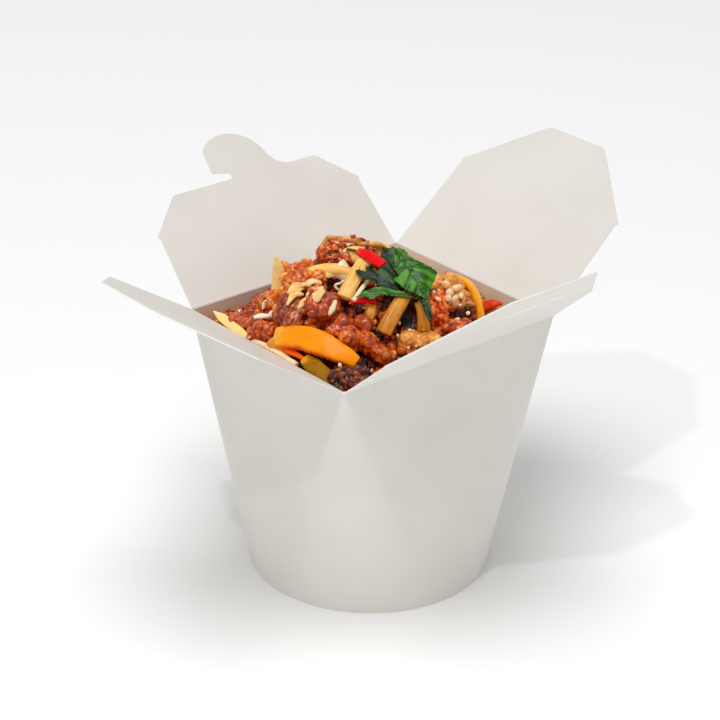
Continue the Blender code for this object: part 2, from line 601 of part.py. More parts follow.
def make_finishes():
    return {
        "board": make_material("board", (0.60, 0.58, 0.53), 0.55),
        "heap": make_material("heap", (0.25, 0.07, 0.02), 0.35),
        "meat": make_material("meat", (0.30, 0.07, 0.02), 0.30),
        "crumb": make_material("crumb", (0.55, 0.27, 0.08), 0.45),
        "noodle": make_material("noodle", (0.75, 0.47, 0.18), 0.35),
        "stalk": make_material("stalk", (0.72, 0.46, 0.12), 0.30),
        "orange": make_material("orange", (0.85, 0.28, 0.01), 0.25),
        "carrot": make_material("carrot", (0.65, 0.10, 0.02), 0.30),
        "yellow": make_material("yellow", (0.85, 0.42, 0.05), 0.30),
        "pale_pepper": make_material("pale_pepper", (0.85, 0.55, 0.22), 0.35),
        "green_pepper": make_material("green_pepper", (0.50, 0.32, 0.02), 0.30),
        "onion": make_material("onion", (0.80, 0.62, 0.42), 0.25),
        "chilli": make_material("chilli", (0.70, 0.01, 0.01), 0.20),
        "leaf": make_material("leaf", (0.03, 0.17, 0.02), 0.40),
    }


def build():
    clear_scene()
    finish = make_finishes()
    axis = bpy.data.objects.new("carton_axis", None)
    bpy.context.scene.collection.objects.link(axis)
    make_wall(finish["board"], axis)
    make_base(finish["board"], axis)
    make_flaps(finish["board"], axis)
    pieces = make_garnish(finish, axis) + make_cut_vegetables(finish, axis) + make_morsels(finish, axis)
    seat_pieces(pieces + [make_heap(finish["heap"], axis)])
    middle_x, middle_y = outline_middle()
    axis.location = (-middle_x, -middle_y, 0.0)


build()
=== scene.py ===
import json
import math
import random

import bmesh
import bpy
from mathutils import Matrix, Vector, noise
from mathutils.bvhtree import BVHTree

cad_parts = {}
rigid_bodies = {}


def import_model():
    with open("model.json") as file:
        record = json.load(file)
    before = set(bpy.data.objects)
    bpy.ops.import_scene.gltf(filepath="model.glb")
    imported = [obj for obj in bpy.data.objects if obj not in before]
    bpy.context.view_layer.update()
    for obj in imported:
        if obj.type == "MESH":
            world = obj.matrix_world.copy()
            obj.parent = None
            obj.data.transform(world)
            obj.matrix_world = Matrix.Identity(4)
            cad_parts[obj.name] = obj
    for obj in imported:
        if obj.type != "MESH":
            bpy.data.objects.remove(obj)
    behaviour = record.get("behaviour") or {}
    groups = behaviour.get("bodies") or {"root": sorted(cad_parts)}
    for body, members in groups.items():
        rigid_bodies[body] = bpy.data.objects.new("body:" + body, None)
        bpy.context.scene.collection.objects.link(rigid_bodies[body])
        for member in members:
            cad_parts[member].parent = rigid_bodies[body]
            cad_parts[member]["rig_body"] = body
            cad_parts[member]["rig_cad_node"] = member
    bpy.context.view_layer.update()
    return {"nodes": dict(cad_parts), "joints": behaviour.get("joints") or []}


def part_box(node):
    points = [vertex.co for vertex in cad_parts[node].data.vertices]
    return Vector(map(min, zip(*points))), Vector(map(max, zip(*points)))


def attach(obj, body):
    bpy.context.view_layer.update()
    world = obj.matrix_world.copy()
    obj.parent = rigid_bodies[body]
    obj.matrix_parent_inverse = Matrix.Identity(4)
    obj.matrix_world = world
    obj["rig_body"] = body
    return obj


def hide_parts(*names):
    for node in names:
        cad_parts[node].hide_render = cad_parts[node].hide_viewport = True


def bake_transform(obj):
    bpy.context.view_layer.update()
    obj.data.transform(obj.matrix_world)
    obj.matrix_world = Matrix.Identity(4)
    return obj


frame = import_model()
MM = 0.001
joints = {joint["name"]: joint for joint in frame["joints"]}


# ---- the table, the light and the camera ----
# A pale table top that runs out of sight, one large soft light from above and a small, weaker one
# from high on the camera's left, as over a white studio table.

base_low, base_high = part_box("carton_base")
axis = (base_low + base_high) / 2
axis.z = 0.0
HEIGHT = joints["hook_crease"]["pos_m"][2]


def plain_mesh(name, points, faces, material=None):
    """A mesh object at the origin from points and faces, smooth-shaded."""
    mesh = bpy.data.meshes.new(name)
    mesh.from_pydata([tuple(point) for point in points], [], faces)
    mesh.update()
    mesh.shade_smooth()
    if material:
        mesh.materials.append(material)
    piece = bpy.data.objects.new(name, mesh)
    bpy.context.scene.collection.objects.link(piece)
    return piece


class Value:
    """A number, colour or vector inside a node tree, so that a mask reads as an expression."""

    def __init__(self, tree, socket):
        self.tree, self.socket = tree, socket

    def sum_of(self, operation, first, second):
        node = self.tree.nodes.new("ShaderNodeMath")
        node.operation = operation
        for slot, value in zip(node.inputs, (first, second)):
            feed(slot, value)
        return Value(self.tree, node.outputs[0])

    def __add__(self, other):
        return self.sum_of("ADD", self, other)

    def __sub__(self, other):
        return self.sum_of("SUBTRACT", self, other)

    def __rsub__(self, other):
        return self.sum_of("SUBTRACT", other, self)

    def __mul__(self, other):
        return self.sum_of("MULTIPLY", self, other)

    def __truediv__(self, other):
        return self.sum_of("DIVIDE", self, other)

    def __pow__(self, other):
        return self.sum_of("POWER", self, other)

    __radd__, __rmul__ = __add__, __mul__


def feed(slot, value):
    """Links a Value into a node's input, or sets the input to a plain number, colour or vector."""
    if isinstance(value, Value):
        value.tree.links.new(value.socket, slot)
    else:
        slot.default_value = value


class Tree:
    """A node tree being written. make() adds any node: its type, settings, inputs and output."""

    def __init__(self, tree):
        self.tree = tree

    def make(self, kind, inputs=None, output=0, **settings):
        node = self.tree.nodes.new(kind)
        for name, value in settings.items():
            if name == "stops":
                fill_ramp(node.color_ramp, value)
            else:
                setattr(node, name, value)
        for name, value in (inputs or {}).items():
            feed(node.inputs[name], value)
        return Value(self.tree, node.outputs[output])


def fill_ramp(ramp, stops):
    while len(ramp.elements) > 1:
        ramp.elements.remove(ramp.elements[-1])
    for i, (place, colour) in enumerate(stops):
        element = ramp.elements[0] if i == 0 else ramp.elements.new(place)
        element.position = place
        element.color = colour


def tone(red, green, blue):
    """A colour as the eye reads it, 0 to 255, in the linear numbers that a shader takes."""
    found = []
    for part in (red / 255, green / 255, blue / 255):
        found.append(part / 12.92 if part <= 0.04045 else ((part + 0.055) / 1.055) ** 2.4)
    return (*found, 1.0)


class Finish(Tree):
    """A surface: one Principled shader, with its constants set on the shader's own sockets."""

    def __init__(self, name, **constants):
        self.material = bpy.data.materials.new(name)
        self.material.use_nodes = True
        super().__init__(self.material.node_tree)
        self.shader = self.tree.nodes["Principled BSDF"]
        for word, value in constants.items():
            self.shader.inputs[word.replace("_", " ")].default_value = value
        self.place = self.make("ShaderNodeTexCoord", output="Object")

    def noise(self, size, detail=2.0, rough=0.5, place=None):
        """Noise from 0 to 1 whose patches are about size metres across."""
        inputs = {"Vector": place or self.place, "Scale": 1 / size, "Detail": detail, "Roughness": rough}
        return self.make("ShaderNodeTexNoise", inputs)

    def ramp(self, mask, *stops):
        return self.make("ShaderNodeValToRGB", {"Fac": mask}, stops=stops)

    def step(self, value, low, high):
        """0 below low, 1 above high, and smooth between them."""
        inputs = {"Value": value, "From Min": low, "From Max": high}
        return self.make("ShaderNodeMapRange", inputs, interpolation_type="SMOOTHSTEP")

    def mix(self, mask, first, second, blend_type="MIX"):
        inputs = {0: mask, 6: first, 7: second}
        return self.make("ShaderNodeMix", inputs, 2, data_type="RGBA", blend_type=blend_type)

    def attribute(self, name):
        return self.make("ShaderNodeAttribute", output="Fac", attribute_name=name)

    def wear(self, **inputs):
        """Feeds what changes over the surface: Base_Color, Roughness, Coat_Weight."""
        for word, value in inputs.items():
            feed(self.shader.inputs[word.replace("_", " ")], value)

    def bump(self, height, depth, strength=1.0):
        """Relief: height from 0 to 1 is depth metres deep."""
        inputs = {"Height": height, "Distance": depth, "Strength": strength}
        feed(self.shader.inputs["Normal"], self.make("ShaderNodeBump", inputs))


table_finish = Finish("table_top", Roughness=0.6, Specular_IOR_Level=0.2)
table_finish.wear(Base_Color=table_finish.mix(table_finish.noise(0.3), tone(255, 255, 255), tone(253, 253, 253)))
TABLE_HALF = 6.0
corners = [(x * TABLE_HALF, y * TABLE_HALF, 0.0) for x, y in ((-1, -1), (1, -1), (1, 1), (-1, 1))]
plain_mesh("table_top", corners, [(0, 1, 2, 3)], table_finish.material)


def soft_light(name, power, size, distance, azimuth, elevation, colour):
    """A square light that looks at the middle of the box."""
    turn, lift = math.radians(azimuth), math.radians(elevation)
    away = Vector((math.sin(turn) * math.cos(lift), -math.cos(turn) * math.cos(lift), math.sin(lift)))
    light = bpy.data.lights.new(name, "AREA")
    light.energy, light.size, light.color = power, size, colour
    lamp = bpy.data.objects.new(name, light)
    bpy.context.scene.collection.objects.link(lamp)
    lamp.location = axis + Vector((0, 0, HEIGHT)) + away * distance
    lamp.rotation_euler = away.to_track_quat("Z", "Y").to_euler()


soft_light("overhead_light", 50.0, 1.5, 3.0, 34, 79, (1.0, 1.0, 1.0))
soft_light("sparkle_light", 4.0, 0.05, 1.8, 22, 55, (1.0, 1.0, 1.0))
world = bpy.data.worlds.new("studio")
world.use_nodes = True
world.node_tree.nodes["Background"].inputs["Color"].default_value = (1.0, 1.0, 1.0, 1.0)
world.node_tree.nodes["Background"].inputs["Strength"].default_value = 0.46
bpy.context.scene.world = world
bpy.context.scene.view_settings.view_transform = "Standard"

# The camera looks down on the front corner from a little under a metre away.
LENS, SENSOR = 115.0, 36.0
AZIMUTH, ELEVATION, ROLL = math.radians(49.35), math.radians(26.06), math.radians(0.77)
DISTANCE, ASIDE, ABOVE = 0.9315, -0.00336, 0.07691
back = Vector((math.sin(AZIMUTH) * math.cos(ELEVATION), -math.cos(AZIMUTH) * math.cos(ELEVATION),
               math.sin(ELEVATION)))
right = Vector((math.cos(AZIMUTH), math.sin(AZIMUTH), 0.0))
up = back.cross(right)
right, up = (right * math.cos(ROLL) + up * math.sin(ROLL), up * math.cos(ROLL) - right * math.sin(ROLL))
camera_data = bpy.data.cameras.new("camera")
camera_data.lens, camera_data.sensor_width = LENS, SENSOR
camera = bpy.data.objects.new("camera", camera_data)
bpy.context.scene.collection.objects.link(camera)
turning = Matrix((right, up, back)).transposed().to_4x4()
camera.matrix_world = Matrix.Translation(axis + back * DISTANCE + right * ASIDE + up * ABOVE) @ turning
bpy.context.scene.camera = camera


# ---- the board ----
# One blank of white food board, half a millimetre thick: a smooth coated face, fine fibres that
# show as a faint mottle, and a slightly rougher, whiter raw edge where the die cut it.

def board_finish(name, face, shade, grease=0.0):
    finish = Finish(name, Specular_IOR_Level=0.35)
    cloudy = finish.noise(0.030, 3.0)
    fibre = finish.noise(0.0011, 4.0, 0.65)
    colour = finish.mix(finish.step(cloudy, 0.3, 0.7), face, shade)
    flecks = finish.step(finish.noise(0.0006, 2.0), 0.70, 0.78) * 0.10
    colour = finish.mix(flecks, colour, tone(205, 200, 190))
    if grease:
        height = finish.make("ShaderNodeSeparateXYZ", {"Vector": finish.place}, "Z")
        level = height + (finish.noise(0.012, 3.0) - 0.5) * 0.012
        soaked = finish.step(level, HEIGHT + 0.002, HEIGHT - 0.008) * grease
        colour = finish.mix(soaked, colour, tone(244, 230, 186))
    finish.wear(Base_Color=colour, Roughness=0.42 + fibre * 0.16)
    finish.bump(fibre, 0.00003, 0.5)
    return finish.material


board_outside = board_finish("board_outside", tone(237, 234, 227), tone(232, 229, 221))
board_inside = board_finish("board_inside", tone(237, 233, 225), tone(232, 228, 219), grease=0.8)
# The flaps' inside face is the inside board made a little darker: painted shade that tones down the flaps, which catch
# more of the overhead light than the walls.
flap_inside = board_finish("flap_inside", tone(228, 224, 217), tone(223, 219, 212))
board_edge = board_finish("board_edge", tone(244, 242, 238), tone(236, 233, 226))

# The wall: square at the rim and round at the foot. Each flat side narrows to a point at the foot,
# and each corner is part of a cone whose tip is at the rim. The board laps over itself in a glued
# seam on the back, and is turned up inside the foot round the base disc.
BOARD = 0.5 * MM
CREASE = 0.9 * MM                 # half the width of the bend between wall and flap
HALF_X = joints["slot_crease"]["pos_m"][0] - axis.x
HALF_Y = joints["back_dust_crease"]["pos_m"][1] - axis.y
FOOT_RADIUS = axis.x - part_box("carton_wall")[0].x
HEM_TOP, HEM_THICKNESS = 6.0 * MM, 1.2 * MM
SIDE_BOW = 0.35 * MM              # the full box swells its flat sides a little
SEAM_SIDE, SEAM_PLACE, SEAM_LAP = 0, 0.84, 14.0 * MM
ARC_STEPS, FLAT_STEPS, WALL_ROWS = 26, 26, 26


def wall_columns():
    """Round the wall from +X: (corner, next corner, how far along the flat side, foot direction)."""
    columns = []
    corner_of = [(1, 1), (-1, 1), (-1, -1), (1, -1)]
    for quarter in range(4):
        here, following = corner_of[quarter], corner_of[(quarter + 1) % 4]
        for step in range(ARC_STEPS):
            columns.append((quarter, here, following, 0.0, (quarter + step / ARC_STEPS) * math.pi / 2))
        shares = [step / FLAT_STEPS for step in range(FLAT_STEPS)]
        if quarter == SEAM_SIDE:
            shares = sorted(shares + [SEAM_PLACE - 0.0004, SEAM_PLACE + 0.0004])
        for share in shares:
            columns.append((quarter, here, following, share, (quarter + 1) * math.pi / 2))
    return columns


def wall_point(column, height, inset, lapped):
    quarter, here, following, along, angle = column
    share = height / HEIGHT
    rim = Vector(((here[0] + (following[0] - here[0]) * along) * (HALF_X - inset),
                  (here[1] + (following[1] - here[1]) * along) * (HALF_Y - inset), 0.0))
    out = Vector((math.cos(angle), math.sin(angle), 0.0))
    point = (out * (FOOT_RADIUS - inset)).lerp(rim, share)
    point += out * SIDE_BOW * math.sin(math.pi * along) * math.sin(math.pi * share)
    if lapped and quarter == SEAM_SIDE and 0 < along < SEAM_PLACE:
        side_length = (HALF_X if quarter % 2 == 0 else HALF_Y) * 2
        behind = (SEAM_PLACE - along) * side_length * max(share, 0.02)
        point += out * BOARD * max(0.0, 1 - behind / SEAM_LAP)
    return axis + Vector((point.x, point.y, height))


def wall_rows(low, high, count):
    return [low + (high - low) * (0.5 - 0.5 * math.cos(math.pi * i / count)) for i in range(count + 1)]


def make_wall():
    columns = wall_columns()
    top = HEIGHT - CREASE
    outer = [[wall_point(c, z, 0.0, True) for c in columns] for z in wall_rows(0.0, top, WALL_ROWS)]
    inner = [[wall_point(c, z, BOARD, False) for c in columns] for z in wall_rows(HEM_TOP, top, WALL_ROWS)]
    hem = [[wall_point(c, z, HEM_THICKNESS, False) for c in columns] for z in (0.0, HEM_TOP)]
    rings = outer + inner[::-1] + hem[::-1]
    count = len(columns)
    points = [point for ring in rings for point in ring]
    faces = []
    for r in range(len(rings)):
        low, high = r * count, (r + 1) % len(rings) * count
        for i in range(count):
            j = (i + 1) % count
            faces.append((low + i, low + j, high + j, high + i))
    wall = plain_mesh("carton_shell", points, faces)
    for material in (board_outside, board_inside, board_edge):
        wall.data.materials.append(material)
    outer_faces, inner_faces = len(outer) - 1, len(inner) - 1
    for face in wall.data.polygons:
        ring = face.index // count
        if ring < outer_faces:
            face.material_index = 0
        elif outer_faces < ring <= outer_faces + inner_faces:
            face.material_index = 1
        else:
            face.material_index = 2
    wall.data.set_sharp_from_angle(angle=math.radians(40))
    return wall


shell = make_wall()
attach(shell, "carton")
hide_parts("carton_wall")
frame["nodes"]["carton_base"].data.materials.clear()
frame["nodes"]["carton_base"].data.materials.append(board_inside)


# The four flaps: the same board, bent outwards along a crease at the rim. The hook flap ends in a
# round hook with a pointed barb, and the slot flap has the slit that takes it.
EDGE_ROUND = 1.5 * MM             # radius of the die-cut corners
SIDE_CLEARANCE = 0.7 * MM         # a flap is this much shorter than its crease at each end
FLAP_BOW = 0.5 * MM
CREASE_ROWS = 9


def arc(centre, radius, start, end, steps):
    """Points of an arc, angles in degrees."""
    found = []
    for step in range(steps + 1):
        angle = math.radians(start + (end - start) * step / steps)
        found.append((centre[0] + radius * math.cos(angle), centre[1] + radius * math.sin(angle)))
    return found


def rounded(points, radius, steps=5):
    """Rounds each corner of an outline with a quadratic curve."""
    found = []
    for i, point in enumerate(points):
        here, before, after = (Vector(points[(i + k) % len(points)]) for k in (0, -1, 1))
        start = here + (before - here).normalized() * radius
        end = here + (after - here).normalized() * radius
        for step in range(steps + 1):
            t = step / steps
            found.append(tuple(start.lerp(here, t).lerp(here.lerp(end, t), t)))
    return found


def flap_outline(half_crease, side, depth, chamfer, free_edge=()):
    """Straight sides, chamfered corners, and what the free edge carries; the crease is along X."""
    half = half_crease - SIDE_CLEARANCE
    corners = [(half, side), (half - chamfer, depth), (chamfer - half, depth), (-half, side)]
    outline = rounded(corners, EDGE_ROUND)
    middle = len(outline) // 2
    foot = [(-half, 0.6 * CREASE), (-half_crease, -0.2 * CREASE), (-half_crease, -CREASE)]
    foot += [(half_crease, -CREASE), (half_crease, -0.2 * CREASE), (half, 0.6 * CREASE)]
    outline = foot + [corners[0]] + outline[:middle] + list(free_edge) + outline[middle:] + [corners[3]]
    return [point for i, point in enumerate(outline) if point not in corners]


def hook_edge(depth):
    """The hook from right to left: fillet, round head and nose, pointed barb, and its throat."""
    head_x, head_y, head_radius, fillet = -1.8 * MM, 48.9 * MM, 16.8 * MM, 10.0 * MM
    nose_radius, nose_start = 5.0 * MM, 125
    rise = depth + fillet - head_y
    reach = math.sqrt((head_radius + fillet) ** 2 - rise ** 2)
    meeting = math.degrees(math.atan2(rise, reach))
    inward, turn = head_radius - nose_radius, math.radians(nose_start)
    nose = (head_x + inward * math.cos(turn), head_y + inward * math.sin(turn))
    edge = arc((head_x + reach, depth + fillet), fillet, 270, 180 + meeting, 10)[:-1]
    edge += arc((head_x, head_y), head_radius, meeting, nose_start, 30)
    edge += arc(nose, nose_radius, nose_start, 180, 8)[1:]
    edge += arc((-13.4 * MM, 51.2 * MM), 0.6 * MM, 185, 255, 4)
    return edge + arc((-7.4 * MM, depth + 1.5 * MM), 1.5 * MM, 75, -90, 9)


def bend(flap_point, half_crease, hinge, out, angle):
    """Carries a point of the flat flap to its place: up the wall, round the crease and out."""
    x, y, z = flap_point
    along = out.cross(Vector((0, 0, 1)))
    bow = FLAP_BOW * (1 - (x / half_crease) ** 2) * min(1.0, max(0.0, y / (20 * MM)))
    lift = out * -math.sin(angle) + Vector((0, 0, math.cos(angle)))
    way_out = out * math.cos(angle) + Vector((0, 0, math.sin(angle)))
    on_flap = hinge + way_out * y + lift * (z - bow)
    on_wall = hinge + Vector((0, 0, y)) - out * (BOARD / 2 + z)
    share = min(1.0, max(0.0, 0.5 + 0.5 * y / CREASE))
    return on_wall.lerp(on_flap, share * share * (3 - 2 * share)) + along * x


def make_flap(name, joint, half_crease, outline, slit=None):
    """Cuts the outline from a sheet of board with rows of points across it, then bends it."""
    hinge = Vector(joint["pos_m"])
    out = Vector((0, 0, 1)).cross(Vector(joint["axis"]))
    low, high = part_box(joint["child"])
    depth = max(point[1] for point in outline)
    rise = high.z - HEIGHT - BOARD / 2
    angle = math.asin(rise / depth)
    sheet = bmesh.new()
    sheet.faces.new([sheet.verts.new((x, y, -BOARD / 2)) for x, y in outline])
    sheet.normal_update()
    bmesh.ops.triangulate(sheet, faces=sheet.faces)
    rows = [CREASE * (2 * i / CREASE_ROWS - 1) for i in range(1, CREASE_ROWS + 1)]
    rows += [5 * MM * i for i in range(1, int(depth / (5 * MM)) + 1)]
    for y in rows:
        cut_across(sheet, (0, y, 0), (0, 1, 0))
    for i in range(-9, 10):
        cut_across(sheet, (half_crease * i / 10, 0, 0), (1, 0, 0))
    if slit:
        cut_slit(sheet, *slit)
    lifted = bmesh.ops.extrude_face_region(sheet, geom=sheet.faces[:])["geom"]
    bmesh.ops.translate(sheet, verts=[v for v in lifted if isinstance(v, bmesh.types.BMVert)], vec=(0, 0, BOARD))
    bmesh.ops.recalc_face_normals(sheet, faces=sheet.faces)
    sheet.normal_update()
    for face in sheet.faces:
        face.material_index = 1 if face.normal.z > 0.5 else 0 if face.normal.z < -0.5 else 2
        face.smooth = True
    for vertex in sheet.verts:
        vertex.co = bend(vertex.co, half_crease, hinge, out, angle)
    bmesh.ops.recalc_face_normals(sheet, faces=sheet.faces)
    mesh = bpy.data.meshes.new(name)
    sheet.to_mesh(mesh)
    sheet.free()
    mesh.set_sharp_from_angle(angle=math.radians(50))
    flap = bpy.data.objects.new(name, mesh)
    bpy.context.scene.collection.objects.link(flap)
    for material in (board_outside, flap_inside, board_edge):
        mesh.materials.append(material)
    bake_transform(flap)
    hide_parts(joint["child"])
    return flap


def cut_across(sheet, place, normal):
    bmesh.ops.bisect_plane(sheet, geom=sheet.verts[:] + sheet.edges[:] + sheet.faces[:], dist=1e-6,
                           plane_co=place, plane_no=normal)


def cut_slit(sheet, middle_x, y, length, width):
    """Cuts round a narrow slit and takes its middle out."""
    half = length / 2
    for place, normal in (((middle_x - half, 0, 0), (1, 0, 0)), ((middle_x + half, 0, 0), (1, 0, 0)),
                          ((0, y - width / 2, 0), (0, 1, 0)), ((0, y + width / 2, 0), (0, 1, 0))):
        cut_across(sheet, place, normal)
    inside = []
    for face in sheet.faces:
        middle = face.calc_center_median()
        if abs(middle.x - middle_x) < half and abs(middle.y - y) < width / 2:
            inside.append(face)
    bmesh.ops.delete(sheet, geom=inside, context="FACES")


HOOK_DEPTH = 46.3 * MM
hook_outline = flap_outline(HALF_Y, 31.0 * MM, HOOK_DEPTH, 16.0 * MM, hook_edge(HOOK_DEPTH))
slot_outline = flap_outline(HALF_Y, 26.2 * MM, 67.8 * MM, 31.0 * MM)
dust_outline = flap_outline(HALF_X, 44.3 * MM, 72.4 * MM, 30.0 * MM)
make_flap("hook_flap_board", joints["hook_crease"], HALF_Y, hook_outline)
make_flap("slot_flap_board", joints["slot_crease"], HALF_Y, slot_outline, (-9.0 * MM, 43.0 * MM, 32.0 * MM, 1.6 * MM))
make_flap("back_dust_flap_board", joints["back_dust_crease"], HALF_X, dust_outline)
make_flap("front_dust_flap_board", joints["front_dust_crease"], HALF_X, dust_outline)


# ---- the heap ----
# Egg noodles and crumbled meat fried in a thick dark sauce. The mass under the pieces is one body
# of small sticky crumbs. Its colour goes near-black between the crumbs, partly sauce that has run
# there and partly painted shade, and darker still, as painted shade, in the hollows between the pieces.
HEAP_EDGE, HEAP_PEAK, HEAP_SPREAD, HEAP_POWER = -6.0, 26.5, 37.0, 2.3
HEAP_INSET = BOARD + 0.4 * MM
HEAP_FLOOR = 7.2 * MM
HEAP_SINK = 2.6                    # how far the crumbs between the pieces lie under their tops, in mm


def above_rim(x, y, z):
    """A point of the food, from millimetres across, along and above the rim."""
    return axis + Vector((x * MM, y * MM, HEIGHT + z * MM))


def heap_level(x, y):
    """Height of the heap's smooth surface above the rim, in mm."""
    away = math.hypot(x + 4.0, y - 1.0) / HEAP_SPREAD
    return HEAP_EDGE + x / 23 - y / 26 + HEAP_PEAK * math.exp(-away ** HEAP_POWER)


def crumb_relief(x, y, size, seed):
    """Rounded crumbs side by side, 0 in the grooves and 1 on the tops."""
    spot = Vector((x / size, y / size, seed))
    spot += 0.35 * Vector((noise.noise(spot * 1.3), noise.noise(spot * 1.3 + Vector((7, 0, 0))), 0))
    nearest, second = noise.voronoi(spot)[0][:2]
    return min(1.0, 1.6 * (second - nearest)) ** 0.6


# Hollows between the pieces: x, y, width and depth in mm. The core sinks there, and its colour is darkened there as
# painted shade.
PITS = [(10.0, -29.5, 3.5, 3.0), (29.5, -31.5, 3.2, 3.0), (34.0, -31.5, 4.0, 3.0), (25.5, -5.5, 4.0, 3.5)]
SWELLS = [(9.0, 3.0, 9.0, 5.5), (20.0, -0.5, 6.5, 4.5)]      # piled higher under the leaf and the stalks


def pit(x, y):
    """How deep the hollow between the pieces is at (x, y), in mm; the core's colour is darkened there too, as painted
    shade.
    """
    return sum(deep * math.exp(-((x - px) ** 2 + (y - py) ** 2) / wide ** 2) for px, py, wide, deep in PITS)


def swell(x, y):
    """How much higher than the plain mound the heap is piled at (x, y), in mm."""
    piled = sum(high * math.exp(-((x - px) ** 2 + (y - py) ** 2) / wide ** 2) for px, py, wide, high in SWELLS)
    return piled + 2.2 * noise.noise(Vector((x, y, 4.0)) / 9.0)


def make_heap_core():
    """Wall-following rings from the floor to the shoulder, then fine rings over the mound."""
    flat_steps, arc_steps, top_rings = 64, 3, 70
    columns = []
    corner_of = [(1, 1), (-1, 1), (-1, -1), (1, -1)]
    for quarter in range(4):
        here, following = corner_of[quarter], corner_of[(quarter + 1) % 4]
        for step in range(arc_steps):
            columns.append((-1, here, following, 0.0, (quarter + step / arc_steps) * math.pi / 2))
        for step in range(flat_steps):
            columns.append((-1, here, following, step / flat_steps, (quarter + 1) * math.pi / 2))
    rings = [[wall_point(c, z, HEAP_INSET, False) for c in columns] for z in (HEAP_FLOOR, HEIGHT / 2)]
    shoulder = []
    for column in columns:
        rim = (wall_point(column, HEIGHT, HEAP_INSET, False) - axis) / MM
        level = HEIGHT + (heap_level(rim.x, rim.y) - 2.0) * MM
        shoulder.append(wall_point(column, level, HEAP_INSET, False))
    rings.append(shoulder)
    relief = [1.0] * (3 * len(columns))
    for ring in range(1, top_rings + 1):
        share = 1 - ring / top_rings
        found = []
        for point in shoulder:
            x, y = (point.x - axis.x) / MM * share, (point.y - axis.y) / MM * share
            fade = min(1.0, 12 * (1 - share))
            height = 0.65 * crumb_relief(x, y, 3.4, 2.0) + 0.35 * crumb_relief(x, y, 1.7, 9.0)
            rough = swell(x, y) - HEAP_SINK + 2.4 * (height - 0.5) - pit(x, y)
            level = heap_level(x, y) - 2.0 * (1 - fade) + fade * rough
            found.append(above_rim(x, y, level))
            # Lower relief in the hollows darkens the crumbs there: painted shade.
            relief.append(height - 0.12 * pit(x, y))
        rings.append(found)
    count = len(columns)
    points = [point for ring in rings for point in ring]
    faces = [tuple(reversed(range(count)))]
    for r in range(len(rings) - 1):
        for i in range(count):
            j = (i + 1) % count
            faces.append((r * count + i, r * count + j, (r + 1) * count + j, (r + 1) * count + i))
    core = plain_mesh("heap_core", points, faces)
    bumps = core.data.attributes.new("relief", "FLOAT", "POINT")
    bumps.data.foreach_set("value", relief)
    tidied = bmesh.new()
    tidied.from_mesh(core.data)
    bmesh.ops.remove_doubles(tidied, verts=tidied.verts, dist=1e-5)
    tidied.to_mesh(core.data)
    tidied.free()
    return core


sauce = Finish("thick_sauce", Coat_Roughness=0.06, Specular_IOR_Level=0.3)
# Colour by relief: near-black in the grooves between the crumbs, partly sauce and partly painted shade, and paler on
# the tops.
relief_with_painted_shade = sauce.attribute("relief") + (sauce.noise(0.0016, 3.0) - 0.5) * 0.7
sauce_colour = sauce.ramp(relief_with_painted_shade, (0.0, tone(12, 2, 0)), (0.34, tone(76, 16, 2)), (0.66, tone(156, 54, 8)),
                          (0.98, tone(220, 116, 36)))
sauce_patches = sauce.step(sauce.noise(0.009, 2.0), 0.42, 0.62)
sauce_colour = sauce.mix(sauce_patches * 0.55, sauce_colour, tone(60, 14, 6), "MULTIPLY")
sauce.wear(Base_Color=sauce_colour, Roughness=0.22 + sauce.noise(0.002) * 0.2, Coat_Weight=sauce.noise(0.003) * 0.35)
sauce.bump(sauce.noise(0.0009, 3.0), 0.00035, 0.8)
heap_core = make_heap_core()
heap_core.data.materials.append(sauce.material)
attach(heap_core, "carton")
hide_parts("noodle_heap")


# ---- the glazed meat ----
# Morsels of minced and torn meat, each a knot of soft nodules stuck together, glazed red-brown with
# sauce that pools between the nodules and shines on their tops. The colour is near-black between the
# nodules and pale on their tops: partly the sauce and thin glaze, partly painted shade and painted light.

class Recipe(Tree):
    """A Geometry Nodes tree with named inputs, worked on a mesh and kept as a plain mesh."""

    def __init__(self, name, **sizes):
        group = bpy.data.node_groups.new(name, "GeometryNodeTree")
        super().__init__(group)
        group.interface.new_socket("Geometry", in_out="INPUT", socket_type="NodeSocketGeometry")
        group.interface.new_socket("Geometry", in_out="OUTPUT", socket_type="NodeSocketGeometry")
        kinds = {int: "NodeSocketInt", float: "NodeSocketFloat", tuple: "NodeSocketVector"}
        self.identifiers = {}
        for word, value in sizes.items():
            socket = group.interface.new_socket(word, in_out="INPUT", socket_type=kinds[type(value)])
            socket.default_value = value
            self.identifiers[word] = socket.identifier
        finish = group.interface.new_socket("Finish", in_out="INPUT", socket_type="NodeSocketMaterial")
        self.identifiers["Finish"] = finish.identifier
        self.inputs = group.nodes.new("NodeGroupInput")

    def given(self, word):
        return Value(self.tree, self.inputs.outputs[word])

    def store(self, geometry, word, value, kind="FLOAT"):
        inputs = {"Geometry": geometry, "Name": word, "Value": value}
        return self.make("GeometryNodeStoreNamedAttribute", inputs, data_type=kind)

    def serve(self, geometry):
        """Ends the tree: instances made real, smooth faces, the finish on all of them."""
        real = self.make("GeometryNodeRealizeInstances", {"Geometry": geometry})
        smooth = self.make("GeometryNodeSetShadeSmooth", {"Geometry": real})
        done = self.make("GeometryNodeSetMaterial", {"Geometry": smooth, "Material": self.given("Finish")})
        output = self.tree.nodes.new("NodeGroupOutput")
        feed(output.inputs["Geometry"], done)

    def cook(self, name, mesh, finish, **sizes):
        """Runs the tree on a mesh and returns a new object that holds the plain result."""
        piece = bpy.data.objects.new(name, mesh)
        bpy.context.scene.collection.objects.link(piece)
        modifier = piece.modifiers.new(name, "NODES")
        modifier.node_group = self.tree
        for word, value in dict(sizes, Finish=finish).items():
            modifier[self.identifiers[word]] = value
        graph = bpy.context.evaluated_depsgraph_get()
        made = bpy.data.meshes.new_from_object(piece.evaluated_get(graph), preserve_all_data_layers=True,
                                               depsgraph=graph)
        piece.modifiers.clear()
        piece.data = made
        made.name = name
        return piece


